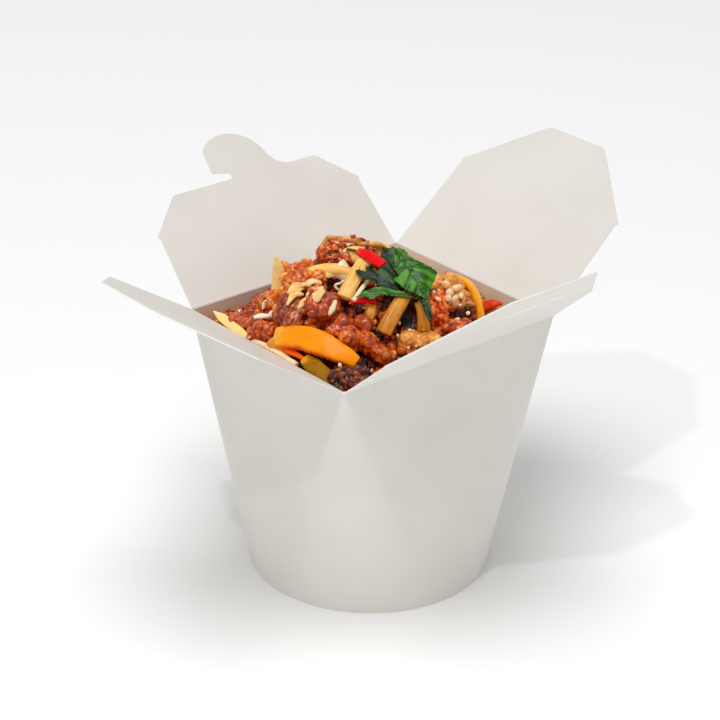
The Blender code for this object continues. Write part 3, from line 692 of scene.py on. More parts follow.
def meat_recipe():
    """Nodules of mixed size over and inside a lump, melted into one skin, folded and fibrous."""
    recipe = Recipe("knot_of_meat", Nodule=0.0020, Spacing=0.0016, Voxel=0.00045, Fold=0.0009, Rough=0.0005,
                    Fibre=(700.0, 700.0, 700.0), Melt=2, Seed=1)
    lump, seed, nodule = recipe.given("Geometry"), recipe.given("Seed"), recipe.given("Nodule")
    skin = recipe.make("GeometryNodeDistributePointsOnFaces",
                       {"Mesh": lump, "Distance Min": recipe.given("Spacing"), "Density Max": 900000.0,
                        "Seed": seed}, distribute_method="POISSON")
    facing = Value(recipe.tree, skin.socket.node.outputs["Normal"])
    chance = recipe.make("FunctionNodeRandomValue", {"Min": 0.0, "Max": 1.0, "Seed": seed}, 1)
    size = nodule * (chance * chance * 0.95 + 0.42)
    inward = recipe.make("ShaderNodeVectorMath", {0: facing, "Scale": size * -1.0}, operation="SCALE")
    skin = recipe.make("GeometryNodeSetPosition", {"Geometry": skin, "Offset": inward})
    skin = recipe.make("GeometryNodeSetPointRadius", {"Points": skin, "Radius": size})
    fog = recipe.make("GeometryNodeMeshToVolume", {"Mesh": lump, "Voxel Size": 0.0007},
                      resolution_mode="VOXEL_SIZE")
    flesh = recipe.make("GeometryNodeDistributePointsInVolume", {"Volume": fog, "Spacing": (0.0022, 0.0022, 0.0022)},
                        mode="DENSITY_GRID")
    flesh = recipe.make("GeometryNodeSetPointRadius", {"Points": flesh, "Radius": 0.0017})
    every = recipe.tree.nodes.new("GeometryNodeJoinGeometry")
    for points in (flesh, skin):
        recipe.tree.links.new(points.socket, every.inputs[0])
    body = recipe.make("GeometryNodePointsToVolume",
                       {"Points": Value(recipe.tree, every.outputs[0]), "Voxel Size": recipe.given("Voxel"),
                        "Radius": recipe.make("GeometryNodeInputRadius")}, resolution_mode="VOXEL_SIZE")
    body = recipe.make("GeometryNodeVolumeToMesh", {"Volume": body, "Voxel Size": recipe.given("Voxel"),
                                                    "Threshold": 0.1}, resolution_mode="VOXEL_SIZE")
    place = recipe.make("GeometryNodeInputPosition")
    melted = recipe.make("GeometryNodeBlurAttribute", {"Value": place, "Iterations": recipe.given("Melt")},
                         data_type="FLOAT_VECTOR")
    body = recipe.make("GeometryNodeSetPosition", {"Geometry": body, "Position": melted})
    swirl = recipe.make("ShaderNodeTexNoise", {"Vector": place, "Scale": 160.0, "Detail": 1.0}, 1)
    bent = recipe.make("ShaderNodeVectorMath", {0: swirl, "Scale": 0.006}, operation="SCALE")
    bent = recipe.make("ShaderNodeVectorMath", {0: place, 1: bent})
    fold = recipe.make("ShaderNodeTexNoise", {"Vector": bent, "Scale": 300.0, "Detail": 0.0})
    crease = recipe.make("ShaderNodeMath", {0: fold - 0.5}, operation="ABSOLUTE")
    crease = recipe.make("ShaderNodeMath", {0: crease * 7.0, 1: 1.0}, operation="MINIMUM")
    along = recipe.make("ShaderNodeVectorMath", {0: place, 1: recipe.given("Fibre")}, operation="MULTIPLY")
    coarse = recipe.make("ShaderNodeTexNoise", {"Vector": along, "Scale": 1.0, "Detail": 3.0})
    push = (coarse - 0.5) * recipe.given("Rough") * 2.0 + (crease - 0.7) * recipe.given("Fold")
    out = recipe.make("GeometryNodeInputNormal")
    shift = recipe.make("ShaderNodeVectorMath", {0: out, "Scale": push}, operation="SCALE")
    body = recipe.make("GeometryNodeSetPosition", {"Geometry": body, "Offset": shift})
    even = recipe.make("GeometryNodeBlurAttribute", {"Value": place, "Iterations": 10}, data_type="FLOAT_VECTOR")
    apart = recipe.make("ShaderNodeVectorMath", {0: place, 1: even}, operation="SUBTRACT")
    relief = recipe.make("ShaderNodeVectorMath", {0: apart, 1: out}, "Value", operation="DOT_PRODUCT")
    recipe.serve(recipe.store(body, "relief", relief * 1000.0))
    return recipe


def meat_finish(name, hollow, dark, flesh, ridge, shine=0.7, blush=None):
    """Glazed meat: dark sauce and painted shade in the hollows, flesh between, and pale ridges that are partly thin
    glaze and partly painted light.
    """
    finish = Finish(name, Coat_Roughness=0.05, Specular_IOR_Level=0.3, Subsurface_Weight=0.12,
                    Subsurface_Radius=(1.0, 0.35, 0.15), Subsurface_Scale=0.0012)
    # The colour follows the relief: hollow is painted shade over the dark sauce, ridge is painted light over the thin
    # glaze.
    level = finish.attribute("relief") * 0.62 + 0.46 + (finish.noise(0.0034, 4.0) - 0.5) * 0.85
    colour = finish.ramp(level, (0.08, hollow), (0.34, dark), (0.56, flesh), (0.88, ridge))
    patches = finish.step(finish.noise(0.0065, 2.0), 0.48, 0.62)
    colour = finish.mix(patches * 0.6, colour, blush or dark)
    finish.wear(Base_Color=colour, Roughness=0.20 + finish.noise(0.0014, 3.0) * 0.30,
                Coat_Weight=finish.step(finish.noise(0.003, 2.0), 0.38, 0.56) * shine)
    finish.bump(finish.noise(0.0009, 3.0, 0.5), 0.00016, 0.6)
    return finish.material


def cut_lump(node, settle=None):
    """A merged copy of a CAD piece's mesh, to grow the real one on. settle gives how far it sags."""
    mesh = frame["nodes"][node].data.copy()
    merged = bmesh.new()
    merged.from_mesh(mesh)
    bmesh.ops.remove_doubles(merged, verts=merged.verts, dist=1e-5)
    for vertex in merged.verts:
        if settle:
            vertex.co.z -= settle((vertex.co - axis) / MM) * MM
    merged.to_mesh(mesh)
    merged.free()
    mesh.materials.clear()
    return mesh


red_brown = meat_finish("glazed_meat", tone(38, 4, 0), tone(136, 30, 2), tone(210, 84, 10), tone(250, 156, 56), 0.9)
dark_meat = meat_finish("torn_meat", tone(38, 5, 1), tone(116, 28, 4), tone(178, 78, 22), tone(240, 160, 84), 0.8)
light_meat = meat_finish("pale_meat", tone(90, 14, 2), tone(176, 56, 8), tone(236, 126, 34), tone(255, 190, 90), 0.7,
                         blush=tone(196, 74, 12))
# A copy of the glazed meat darkened all over as painted shade, for the morsel in the shadowed front corner and for the
# dark crumbs.
shaded_corner_meat = meat_finish("shaded_meat", tone(10, 1, 0), tone(60, 16, 3), tone(116, 48, 14), tone(170, 98, 48), 0.4)
orange_crumb = meat_finish("orange_crumb", tone(116, 14, 1), tone(196, 50, 4), tone(242, 104, 20),
                           tone(255, 172, 80), 0.5, blush=tone(222, 70, 10))
tan_crumb = meat_finish("tan_crumb", tone(126, 48, 8), tone(206, 112, 30), tone(240, 164, 74), tone(255, 214, 140),
                        shine=0.4, blush=tone(226, 136, 48))
knot = meat_recipe()
ISOTROPIC = (700.0, 700.0, 700.0)



def left_sag(place):
    return 4.0 * min(1.0, max(0.0, (-place.x - 22) / 12))


def crown_sag(place):
    return 1.6


MORSELS = [
    # name, CAD node, finish, nodule radius, fold and roughness mm, melt, fibre stretch, sag
    ("crown_morsel", "meat_crown", red_brown, 2.4, 0.7, 1.0, 2, ISOTROPIC, crown_sag),
    ("back_morsel", "meat_back", red_brown, 2.6, 0.4, 0.6, 3, ISOTROPIC, crown_sag),
    ("upper_morsel", "meat_upper", light_meat, 2.6, 0.5, 0.7, 4, ISOTROPIC, None),
    ("torn_morsel", "meat_torn", dark_meat, 3.2, 0.2, 1.1, 4, (1300.0, 240.0, 420.0), None),
    ("shiny_morsel", "meat_glazed", red_brown, 3.4, 0.35, 0.5, 7, ISOTROPIC, None),
    ("side_morsel", "meat_side", light_meat, 2.8, 0.35, 0.5, 6, ISOTROPIC, crown_sag),
    ("left_morsel", "meat_left", red_brown, 2.3, 0.4, 0.6, 3, ISOTROPIC, left_sag),
    ("lower_left_morsel", "meat_left_low", red_brown, 2.8, 0.4, 0.6, 4, ISOTROPIC, None),
    ("middle_morsel", "meat_middle", red_brown, 2.8, 0.4, 0.6, 5, ISOTROPIC, None),
    ("curled_morsel", "meat_curl", red_brown, 2.3, 0.3, 0.4, 4, ISOTROPIC, None),
    ("corner_morsel", "meat_corner", shaded_corner_meat, 2.0, 0.8, 0.5, 2, ISOTROPIC, None),
    ("right_morsel", "meat_right", orange_crumb, 1.6, 0.8, 0.5, 1, ISOTROPIC, None),
    ("lower_right_morsel", "meat_right_low", red_brown, 1.9, 0.5, 0.5, 2, ISOTROPIC, None),
    ("tan_morsel", "tan_chunk", tan_crumb, 2.3, 0.3, 0.4, 4, ISOTROPIC, crown_sag),
    ("nut_morsel", "nut_cluster", tan_crumb, 2.2, 0.6, 0.4, 2, ISOTROPIC, None),
]
for seed, (name, node, finish, nodule, fold, rough, melt, fibre, settle) in enumerate(MORSELS):
    slot = "crumb" if finish is tan_crumb else "meat"
    morsel = knot.cook(name, cut_lump(node, settle), finish, Nodule=nodule * MM, Spacing=nodule * 0.75 * MM,
                       Fold=fold * MM, Rough=rough * MM, Fibre=fibre, Melt=melt, Seed=seed + 3)
    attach(morsel, "carton")
    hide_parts(node)


# ---- the cut vegetables and free noodles ----
# Slices and strips of pepper, carrot and squash, short lengths of stalk and the noodles that lie on
# top: each one swept along its own bend, blunt where the knife cut it, and filmed with sauce.
FRONT_FACE = (0.55, -0.5, 0.7)     # most pieces lie with their broad side up and to the front corner


def between(stops, share):
    """A value read from a list of (share, value), straight between them."""
    for (low, first), (high, second) in zip(stops, stops[1:]):
        if share <= high:
            return first + (second - first) * (share - low) / max(1e-6, high - low)
    return stops[-1][1]


def swept_piece(name, path, face, width, thick, finish, round_by=2.6, flutes=0, flute_depth=0.0,
                waver=0.25, teeth=None, twist=0.0, cup=0.0, steps=34, sides=24, seed=0.0):
    """A closed piece along a bend. Width and thick are lists of (share of the length, mm). Points
    keep how far along and across they are, and how proud they stand, for the finish."""
    first, middle, last = (above_rim(*point) for point in path)
    handle = middle * 2 - (first + last) / 2

    def spine(t):
        return first * (1 - t) ** 2 + handle * 2 * t * (1 - t) + last * t ** 2

    cap = 5
    shares = [(0.0, k / cap) for k in range(cap)] + [(s / steps, 1.0) for s in range(steps + 1)]
    shares += [(1.0, k / cap) for k in range(cap - 1, -1, -1)]
    points, along_of, across_of, proud_of = [], [], [], []
    for t, fill in shares:
        along = (spine(min(1, t + 0.01)) - spine(max(0, t - 0.01))).normalized()
        side = along.cross(Vector(face)).normalized()
        up = side.cross(along)
        turn = math.radians(twist) * (t - 0.5)
        side, up = side * math.cos(turn) + up * math.sin(turn), up * math.cos(turn) - side * math.sin(turn)
        dome = (1 - (1 - fill) ** 2) ** 0.5
        bulge = (fill - 1) * 0.10 * between(width, t) * (1 if t == 0 else -1)
        half_w, half_t = between(width, t) / 2 * MM * dome, between(thick, t) / 2 * MM * dome
        for i in range(sides):
            angle = 2 * math.pi * i / sides
            c, s = math.cos(angle), math.sin(angle)
            a = math.copysign(abs(c) ** (2 / round_by), c)
            b = math.copysign(abs(s) ** (2 / round_by), s)
            reach = 1 - flute_depth * (0.5 - 0.5 * math.cos(flutes * angle)) if flutes else 1.0
            if teeth and a > 0.3 and teeth[0] < t < teeth[1]:
                reach += 0.10 * abs(math.sin(t * teeth[2])) * a
            spot = spine(t) + side * a * reach * half_w + up * (b * reach * half_t - cup * MM * a * a)
            spot += along * (bulge * MM + 0.5 * MM * (noise.noise(spot * 240 + Vector((seed, 9, 4)))
                                                     if t in (0, 1) else 0))
            shake = noise.noise_vector(spot * 160 + Vector((seed, 3, 1))) * waver
            shake += noise.noise_vector(spot * 420 + Vector((seed, 1, 7))) * waver * 0.4
            points.append(spot + shake * MM)
            along_of.append(t)
            across_of.append(a)
            proud_of.append(b)
    faces = [tuple(reversed(range(sides)))]
    rings = len(shares)
    for r in range(rings - 1):
        for i in range(sides):
            j = (i + 1) % sides
            faces.append((r * sides + i, r * sides + j, (r + 1) * sides + j, (r + 1) * sides + i))
    faces.append(tuple(range((rings - 1) * sides, rings * sides)))
    piece = plain_mesh(name, points, faces, finish)
    for word, values in (("along", along_of), ("across", across_of), ("proud", proud_of)):
        piece.data.attributes.new(word, "FLOAT", "POINT").data.foreach_set("value", values)
    outward = bmesh.new()
    outward.from_mesh(piece.data)
    bmesh.ops.recalc_face_normals(outward, faces=outward.faces)
    outward.to_mesh(piece.data)
    outward.free()
    return piece


def seat(piece, slot, *nodes):
    """The piece rides on the carton and stands for its CAD nodes, which are hidden; slot is not used."""
    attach(piece, "carton")
    if nodes:
        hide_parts(*nodes)


def film_of_sauce(finish, colour, amount=0.5, stain=(150, 52, 12)):
    """Sauce that clings in patches: a thin brown film, darker where it has run together."""
    patches = finish.step(finish.noise(0.0045, 3.0, 0.6), 0.50, 0.68) * amount
    specks = finish.step(finish.noise(0.0011, 2.0), 0.66, 0.74) * (amount * 0.8)
    colour = finish.mix(patches, colour, tone(*stain), "MULTIPLY")
    return finish.mix(specks, colour, tone(*stain))


def pepper_finish(name, skin, pale, edge, film=0.3, shine=0.08):
    """Pepper flesh: saturated skin, paler and wetter towards one end, a deeper tint at the cut."""
    finish = Finish(name, Coat_Roughness=0.05, Specular_IOR_Level=0.15, Subsurface_Weight=0.08,
                    Subsurface_Radius=(1.0, 0.5, 0.1), Subsurface_Scale=0.0015)
    along, across = finish.attribute("along"), finish.attribute("across")
    mottle = finish.noise(0.003, 3.0) - 0.5
    colour = finish.mix(finish.step(along + mottle * 0.25, 0.20, -0.02), skin, pale)
    colour = finish.mix(finish.step(across + mottle * 0.4, 0.80, 1.05) * 0.9, colour, edge)
    streaks = finish.noise(0.0012, 2.0, place=finish.make("ShaderNodeCombineXYZ",
                                                         {"X": along * 0.004, "Y": across * 0.004}))
    colour = finish.mix(finish.step(streaks, 0.5, 0.75) * 0.25, colour, edge)
    finish.wear(Base_Color=film_of_sauce(finish, colour, film), Roughness=0.22 + finish.noise(0.002) * 0.18,
                Coat_Weight=finish.step(finish.noise(0.004), 0.4, 0.6) * shine)
    finish.bump(finish.noise(0.0008, 3.0), 0.00012, 0.5)
    return finish.material


def stalk_finish(name, pale, deep, film=0.35):
    """A stalk: fibres run its whole length, pale between amber lines where the sauce has soaked in."""
    finish = Finish(name, Coat_Roughness=0.06, Specular_IOR_Level=0.3, Subsurface_Weight=0.2,
                    Subsurface_Radius=(1.0, 0.5, 0.15), Subsurface_Scale=0.0015)
    along, across, proud = (finish.attribute(word) for word in ("along", "across", "proud"))
    lines = finish.make("ShaderNodeCombineXYZ", {"X": across * 0.009, "Y": proud * 0.009, "Z": along * 0.002})
    fibre = finish.noise(0.0012, 3.0, 0.6, place=lines)
    depth = finish.step(along + (fibre - 0.5) * 1.2, 0.15, 0.95)
    colour = finish.mix(finish.step(fibre, 0.30, 0.55), deep, pale)
    colour = finish.mix(depth * 0.35, colour, deep)
    finish.wear(Base_Color=film_of_sauce(finish, colour, film), Roughness=0.20 + fibre * 0.22,
                Coat_Weight=finish.step(finish.noise(0.004), 0.4, 0.6) * 0.3)
    finish.bump(fibre, 0.0003, 0.7)
    return finish.material


def noodle_finish(name, pale, deep, film=0.3):
    """Wheat noodle: smooth, slightly see-through, golden where the sauce has coloured it."""
    finish = Finish(name, Coat_Roughness=0.08, Specular_IOR_Level=0.3, Subsurface_Weight=0.2,
                    Subsurface_Radius=(1.0, 0.6, 0.3), Subsurface_Scale=0.0015)
    shade = finish.step(finish.noise(0.007, 3.0), 0.35, 0.7)
    colour = finish.mix(shade, pale, deep)
    finish.wear(Base_Color=film_of_sauce(finish, colour, film), Roughness=0.25 + finish.noise(0.002) * 0.2,
                Coat_Weight=finish.step(finish.noise(0.005), 0.4, 0.6) * 0.3)
    finish.bump(finish.noise(0.0007, 2.0), 0.00008, 0.5)
    return finish.material


orange_pepper = pepper_finish("orange_pepper", tone(255, 150, 0), tone(250, 186, 60), tone(238, 90, 6), 0.10)
beige_pepper = pepper_finish("beige_pepper", tone(226, 144, 40), tone(220, 176, 110), tone(206, 92, 14), 0.3)
yellow_pepper = pepper_finish("yellow_pepper", tone(254, 184, 28), tone(255, 206, 90), tone(244, 140, 10), 0.1)
green_pepper = pepper_finish("green_pepper", tone(158, 108, 4), tone(246, 164, 24), tone(104, 84, 6), 0.3)
red_carrot = pepper_finish("red_carrot", tone(216, 52, 2), tone(230, 76, 8), tone(186, 34, 2), 0.3)
sliver_skin = pepper_finish("sliver_pepper", tone(255, 222, 146), tone(255, 232, 172), tone(255, 206, 116), 0.0)
thin_strip_skin = pepper_finish("thin_red_strip", tone(250, 100, 6), tone(252, 140, 30), tone(226, 66, 6), 0.1)
stalk_skin = stalk_finish("yellow_stalk", tone(255, 220, 132), tone(234, 154, 44), 0.12)
amber_stalk = stalk_finish("amber_stalk", tone(230, 160, 40), tone(184, 98, 10), 0.25)
golden_noodle = noodle_finish("golden_noodle", tone(255, 216, 130), tone(250, 178, 76), 0.2)
pale_noodle = noodle_finish("pale_noodle", tone(252, 228, 186), tone(244, 200, 136), 0.2)

SWEPT = [
    # name, slot, CAD node, path, face, width, thickness, finish, further sizes
    ("orange_pepper_slice", "orange", "orange_slice", [(-1.0, -45.8, 2.6), (17.0, -43.6, 7.4), (33.0, -36.0, 2.2)],
     FRONT_FACE, [(0, 8.0), (0.1, 9.2), (0.55, 9.4), (0.85, 7.4), (1, 5.0)], [(0, 3.6), (0.5, 4.2), (1, 3.4)],
     orange_pepper, {"round_by": 3.6, "teeth": (0.45, 0.86, 62.0), "waver": 0.35}),
    ("beige_pepper_end", "pale_pepper", "orange_end", [(-1.2, -48.2, 2.4), (3.0, -48.4, -0.2), (8.5, -48.0, -2.2)],
     (0.3, -0.9, 0.3), [(0, 4.8), (0.5, 6.0), (1, 4.2)], [(0, 2.4), (1, 2.6)], beige_pepper, {"round_by": 3.0}),
    ("green_pepper_slice", "green_pepper", "green_slice", [(17.0, -47.2, 1.0), (26.0, -47.5, -0.8), (36.5, -47.6, -3.4)],
     FRONT_FACE, [(0, 4.2), (0.3, 7.0), (0.8, 6.6), (1, 4.0)], [(0, 2.2), (1, 2.4)], green_pepper, {"round_by": 3.0}),
    ("yellow_pepper_arch", "yellow", "yellow_arch", [(14.5, 25.5, 12.5), (25.5, 27.5, 12.0), (33.5, 26.0, 1.6)],
     (0.1, 0.6, 0.8), [(0, 3.6), (0.3, 5.0), (0.8, 5.6), (1, 5.0)], [(0, 2.4), (1, 3.0)], yellow_pepper,
     {"round_by": 3.0}),
    ("yellow_rim_strip", "yellow", "yellow_strip", [(-36.5, -48.6, 1.4), (-26.0, -49.4, 0.4), (-13.5, -49.7, -1.6)],
     (0.2, -0.7, 0.7), [(0, 0.4), (0.3, 3.6), (0.7, 4.0), (1, 3.0)], [(0, 0.8), (0.4, 1.7), (1, 1.5)], sliver_skin,
     {"round_by": 3.0}),
    ("rim_noodle_loop", "noodle", "rim_noodle", [(-15.0, -49.2, -2.4), (-1.0, -49.5, -0.8), (15.0, -49.5, -1.8)],
     FRONT_FACE, [(0, 2.6), (1, 2.6)], [(0, 2.2), (1, 2.2)], pale_noodle, {"round_by": 2.0}),
    ("arched_noodle_strand", "noodle", "arched_noodle", [(-12.5, -25.0, 17.4), (-5.5, -17.5, 21.0), (2.0, -11.0, 19.5)],
     FRONT_FACE, [(0, 3.4), (0.2, 4.6), (1, 4.6)], [(0, 3.2), (1, 4.2)], golden_noodle, {"round_by": 2.2}),
    ("long_yellow_stalk", "stalk", "long_stalk", [(-1.0, -1.0, 23.5), (4.5, -11.0, 22.5), (9.5, -22.0, 16.0)],
     FRONT_FACE, [(0, 5.2), (0.3, 5.4), (1, 6.4)], [(0, 2.8), (1, 3.2)], stalk_skin,
     {"round_by": 3.0, "flutes": 9, "flute_depth": 0.10}),
    ("short_amber_stalk", "stalk", "short_stalk", [(23.5, -4.5, 16.5), (26.0, -11.0, 13.5), (27.5, -18.0, 7.0)],
     FRONT_FACE, [(0, 5.6), (1, 6.2)], [(0, 4.4), (1, 4.6)], amber_stalk,
     {"round_by": 2.2, "flutes": 9, "flute_depth": 0.10}),
    ("side_amber_stalk", "stalk", "side_stalk", [(28.0, -1.5, 14.5), (31.0, -2.0, 11.5), (33.5, -3.5, 5.8)],
     FRONT_FACE, [(0, 4.0), (1, 5.2)], [(0, 3.2), (1, 3.6)], amber_stalk,
     {"round_by": 2.2, "flutes": 8, "flute_depth": 0.10}),
    ("cut_stalk_end", "stalk", "stalk_end", [(17.5, -15.0, 13.0), (19.0, -17.0, 11.5), (20.5, -19.5, 8.0)],
     FRONT_FACE, [(0, 3.4), (0.5, 4.2), (1, 2.4)], [(0, 2.8), (1, 2.2)], amber_stalk,
     {"round_by": 2.2, "flutes": 6, "flute_depth": 0.10}),
    ("square_noodle_cut", "noodle", "square_cut", [(-10.0, -7.4, 20.2), (-8.4, -3.5, 22.0), (-7.0, 0.4, 21.2)],
     FRONT_FACE, [(0, 6.2), (1, 6.8)], [(0, 2.6), (1, 3.0)], golden_noodle, {"round_by": 5.0, "waver": 0.3}),
    ("flat_noodle_cut", "noodle", "flat_cut", [(-14.5, 4.5, 20.2), (-10.5, 9.0, 21.2), (-5.5, 12.8, 19.3)],
     FRONT_FACE, [(0, 4.4), (1, 5.2)], [(0, 2.2), (1, 2.4)], golden_noodle, {"round_by": 4.0, "waver": 0.3}),
    ("red_carrot_tip", "carrot", "carrot_tip", [(27.0, 32.0, 1.8), (29.5, 34.5, 4.0), (33.0, 37.4, 4.8)],
     FRONT_FACE, [(0, 4.2), (0.6, 4.0), (1, 1.2)], [(0, 3.0), (1, 1.4)], red_carrot, {"round_by": 2.6}),
    ("upright_pepper_sliver", "pale_pepper", "pepper_sliver",
     [(-20.4, -28.6, 4.0), (-20.6, -29.0, 14.0), (-22.2, -29.8, 24.4)],
     (0.76, -0.65, 0.0), [(0, 8.6), (0.45, 6.8), (0.8, 4.0), (1, 0.5)], [(0, 1.6), (1, 0.7)], sliver_skin,
     {"round_by": 3.0, "twist": 25.0, "cup": 0.7}),
]
for seed, (name, slot, node, path, face, width, thick, finish, more) in enumerate(SWEPT):
    seat(swept_piece(name, path, face, width, thick, finish, seed=seed * 3.1, **more), slot, node)


# The chilli: two pieces of a thin red pod, with a hard shine, and paler flesh where they were cut.
chilli_skin = pepper_finish("red_chilli", tone(238, 2, 12), tone(250, 70, 60), tone(196, 0, 2), 0.0, 0.4)
strip = swept_piece("chilli_pod_strip", [(-1.4, -6.2, 26.8), (5.2, -5.6, 26.6), (12.6, -5.8, 25.6)], FRONT_FACE,
                    [(0, 3.0), (0.2, 3.8), (0.9, 4.4), (1, 3.6)], [(0, 2.0), (1, 2.4)], chilli_skin, waver=0.2)
seat(strip, "chilli", "chilli_strip")
ring = swept_piece("chilli_pod_slice", [(12.5, -22.0, 14.5), (15.2, -18.0, 15.8), (18.0, -14.0, 15.2)], FRONT_FACE,
                   [(0, 0.8), (0.4, 2.4), (1, 2.8)], [(0, 0.8), (0.4, 1.6), (1, 1.8)], chilli_skin, waver=0.2)
seat(ring, "chilli", "chilli_slice")


# The onion: one layer of it, almost clear, fallen over the noodle, with a curled tube at its foot.
onion_skin = Finish("clear_onion", Coat_Roughness=0.05, Specular_IOR_Level=0.5, Subsurface_Weight=0.35,
                    Subsurface_Radius=(1.0, 0.7, 0.5), Subsurface_Scale=0.002)
onion_lines = onion_skin.noise(0.0016, 2.0, place=onion_skin.make(
    "ShaderNodeCombineXYZ", {"X": onion_skin.attribute("across") * 0.006, "Y": onion_skin.attribute("along") * 0.002}))
onion_tint = onion_skin.mix(onion_skin.step(onion_lines, 0.4, 0.65), tone(244, 214, 168), tone(252, 234, 204))
onion_skin.wear(Base_Color=film_of_sauce(onion_skin, onion_tint, 0.25, (214, 150, 90)),
                Roughness=0.18 + onion_lines * 0.2, Coat_Weight=onion_skin.noise(0.004) * 0.9)
onion_skin.bump(onion_lines, 0.00015, 0.6)
onion = swept_piece("onion_layer", [(-2.4, -15.6, 22.6), (0.6, -14.6, 20.2), (3.6, -14.4, 16.0)], (0.75, -0.55, 0.35),
                    [(0, 8.0), (0.5, 5.8), (1, 2.2)], [(0, 0.6), (1, 0.6)], onion_skin.material, round_by=4.0,
                    cup=1.3, twist=-20)
seat(onion, "onion", "onion_piece")


# Odd cuttings that lie loose: strips of pepper and stalk, slivers of almond, and long white grains.
def gathered(name, pieces):
    """Pieces of one kind made into one."""
    heap = bmesh.new()
    finish = pieces[0].data.materials[0]
    for piece in pieces:
        heap.from_mesh(piece.data)
        bpy.data.objects.remove(piece)
    mesh = bpy.data.meshes.new(name)
    heap.to_mesh(mesh)
    heap.free()
    mesh.materials.append(finish)
    mesh.shade_smooth()
    made = bpy.data.objects.new(name, mesh)
    bpy.context.scene.collection.objects.link(made)
    return made


def ring_path(centre, radius, start, end):
    """Points round a small curl that faces the front corner."""
    side, up = Vector((0.65, 0.76, 0.0)), Vector((-0.33, 0.28, 0.90))
    middle = (start + end) / 2
    spots = [(start, radius), (middle, radius * 1.7), (end, radius)]
    return [tuple(Vector(centre) + side * r * math.cos(a) + up * r * math.sin(a)) for a, r in spots]


almond = noodle_finish("almond_sliver", tone(255, 216, 150), tone(250, 190, 104), 0.12)
white_grain = noodle_finish("white_grain", tone(255, 244, 222), tone(250, 226, 186), 0.08)
green_stem = noodle_finish("green_stem", tone(92, 104, 30), tone(54, 70, 16), 0.2)
pale_strip = noodle_finish("pale_strip", tone(255, 238, 196), tone(250, 214, 150), 0.12)
CUTTINGS = [
    # name, slot, finish, and for each cutting its path, its widths and its thickness
    ("almond_slivers", "crumb", almond, [
        ([(-5.6, -37.1, 16.4), (-5.8, -33.1, 18.2), (-6.8, -28.9, 17.0)], [(0, 1.1), (0.5, 3.8), (1, 2.4)], 0.9),
        ([(-1.0, -40.9, 14.8), (-3.0, -35.5, 17.4), (-6.4, -29.1, 16.2)], [(0, 1.1), (0.4, 3.2), (1, 1.6)], 0.9),
        ([(-4.0, -37.5, 16.6), (-2.0, -35.9, 17.4), (-0.4, -33.9, 17.0)], [(0, 1.1), (0.5, 2.7), (1, 1.1)], 0.8),
        ([(-6.8, -28.4, 16.6), (-5.0, -25.7, 18.0), (-3.0, -23.1, 17.8)], [(0, 1.6), (0.5, 3.5), (1, 1.4)], 0.9),
        ([(6.7, -36.8, 15.2), (7.5, -34.8, 18.4), (9.1, -31.8, 21.4)], [(0, 1.4), (0.6, 4.3), (1, 1.9)], 1.0),
        ([(3.7, -35.4, 18.6), (5.7, -33.4, 20.6), (7.9, -31.0, 21.6)], [(0, 1.1), (0.5, 3.0), (1, 1.6)], 0.9),
        ([(-8.4, -33.1, 15.6), (-7.6, -30.9, 17.0), (-5.6, -28.1, 17.8)], [(0, 1.2), (0.5, 3.0), (1, 1.4)], 0.9),
        ([(3.5, -39.4, 14.2), (4.1, -37.6, 16.4), (4.7, -35.6, 18.6)], [(0, 0.8), (0.5, 2.6), (1, 1.0)], 0.9),
        ([(-4.6, -20.9, 19.2), (-3.8, -18.9, 19.8), (-2.8, -17.1, 19.0)], [(0, 1.6), (0.5, 3.2), (1, 1.6)], 1.1)]),
    ("white_grains", "noodle", white_grain, [
        ([(-13.6, -46.8, 6.4), (-12.0, -44.6, 7.0), (-10.0, -42.2, 6.8)], [(0, 1.4), (0.5, 2.4), (1, 1.4)], 1.8),
        ([(-9.4, -42.8, 7.6), (-8.2, -42.4, 8.8), (-6.4, -42.2, 9.4)], [(0, 1.4), (0.5, 2.6), (1, 1.4)], 1.8),
        ([(13.4, -32.6, 13.4), (14.0, -31.6, 15.6), (13.8, -30.0, 18.2)], [(0, 1.2), (0.5, 2.4), (1, 1.4)], 1.4),
        ([(-19.9, -37.7, 5.0), (-19.6, -37.2, 7.0), (-18.9, -36.5, 9.0)], [(0, 0.8), (0.5, 2.2), (1, 1.0)], 0.8)]),
    ("pale_strips", "pale_pepper", pale_strip, [
        ([(8.0, -8.4, 18.8), (10.8, -14.0, 18.6), (13.9, -21.2, 16.2)], [(0, 1.6), (1, 1.8)], 1.2),
        ([(-19.4, -26.4, 8.0), (-18.6, -26.2, 14.0), (-18.8, -26.8, 20.2)], [(0, 5.0), (0.5, 3.0), (1, 0.4)], 0.9)]),
    ("onion_curl", "onion", onion_skin.material, [
        (ring_path((2.6, -17.6, 16.6), 1.5, 0.2, 1.9), [(0, 1.0), (1, 1.0)], 0.7),
        (ring_path((2.6, -17.6, 16.6), 1.5, 1.9, 4.0), [(0, 1.0), (1, 1.0)], 0.7),
        (ring_path((2.6, -17.6, 16.6), 1.5, 4.0, 6.3), [(0, 1.0), (1, 1.0)], 0.7)]),
    ("thin_red_cutting", "carrot", thin_strip_skin, [
        ([(1.0, -47.2, 1.0), (8.5, -47.6, 1.4), (18.0, -47.4, 1.0)], [(0, 1.6), (0.5, 3.4), (1, 1.2)], 1.6)]),
    ("orange_red_cutting", "carrot", red_carrot, [
        ([(4.4, -20.6, 12.0), (5.6, -19.4, 14.6), (6.2, -17.8, 16.4)], [(0, 2.6), (0.5, 4.2), (1, 2.6)], 2.6)]),
    ("green_stem_cutting", "leaf", green_stem, [
        ([(-9.9, -5.0, 24.4), (-7.4, -3.2, 24.4), (-5.4, -1.2, 23.2)], [(0, 0.9), (1, 0.8)], 0.8)]),
]
for seed, (name, slot, finish, rows) in enumerate(CUTTINGS):
    made = [swept_piece(name, path, FRONT_FACE, width, [(0, thick), (1, thick)], finish, waver=0.12,
                        steps=12, sides=12, seed=seed + 7 * i) for i, (path, width, thick) in enumerate(rows)]
    seat(gathered(name, made), slot)


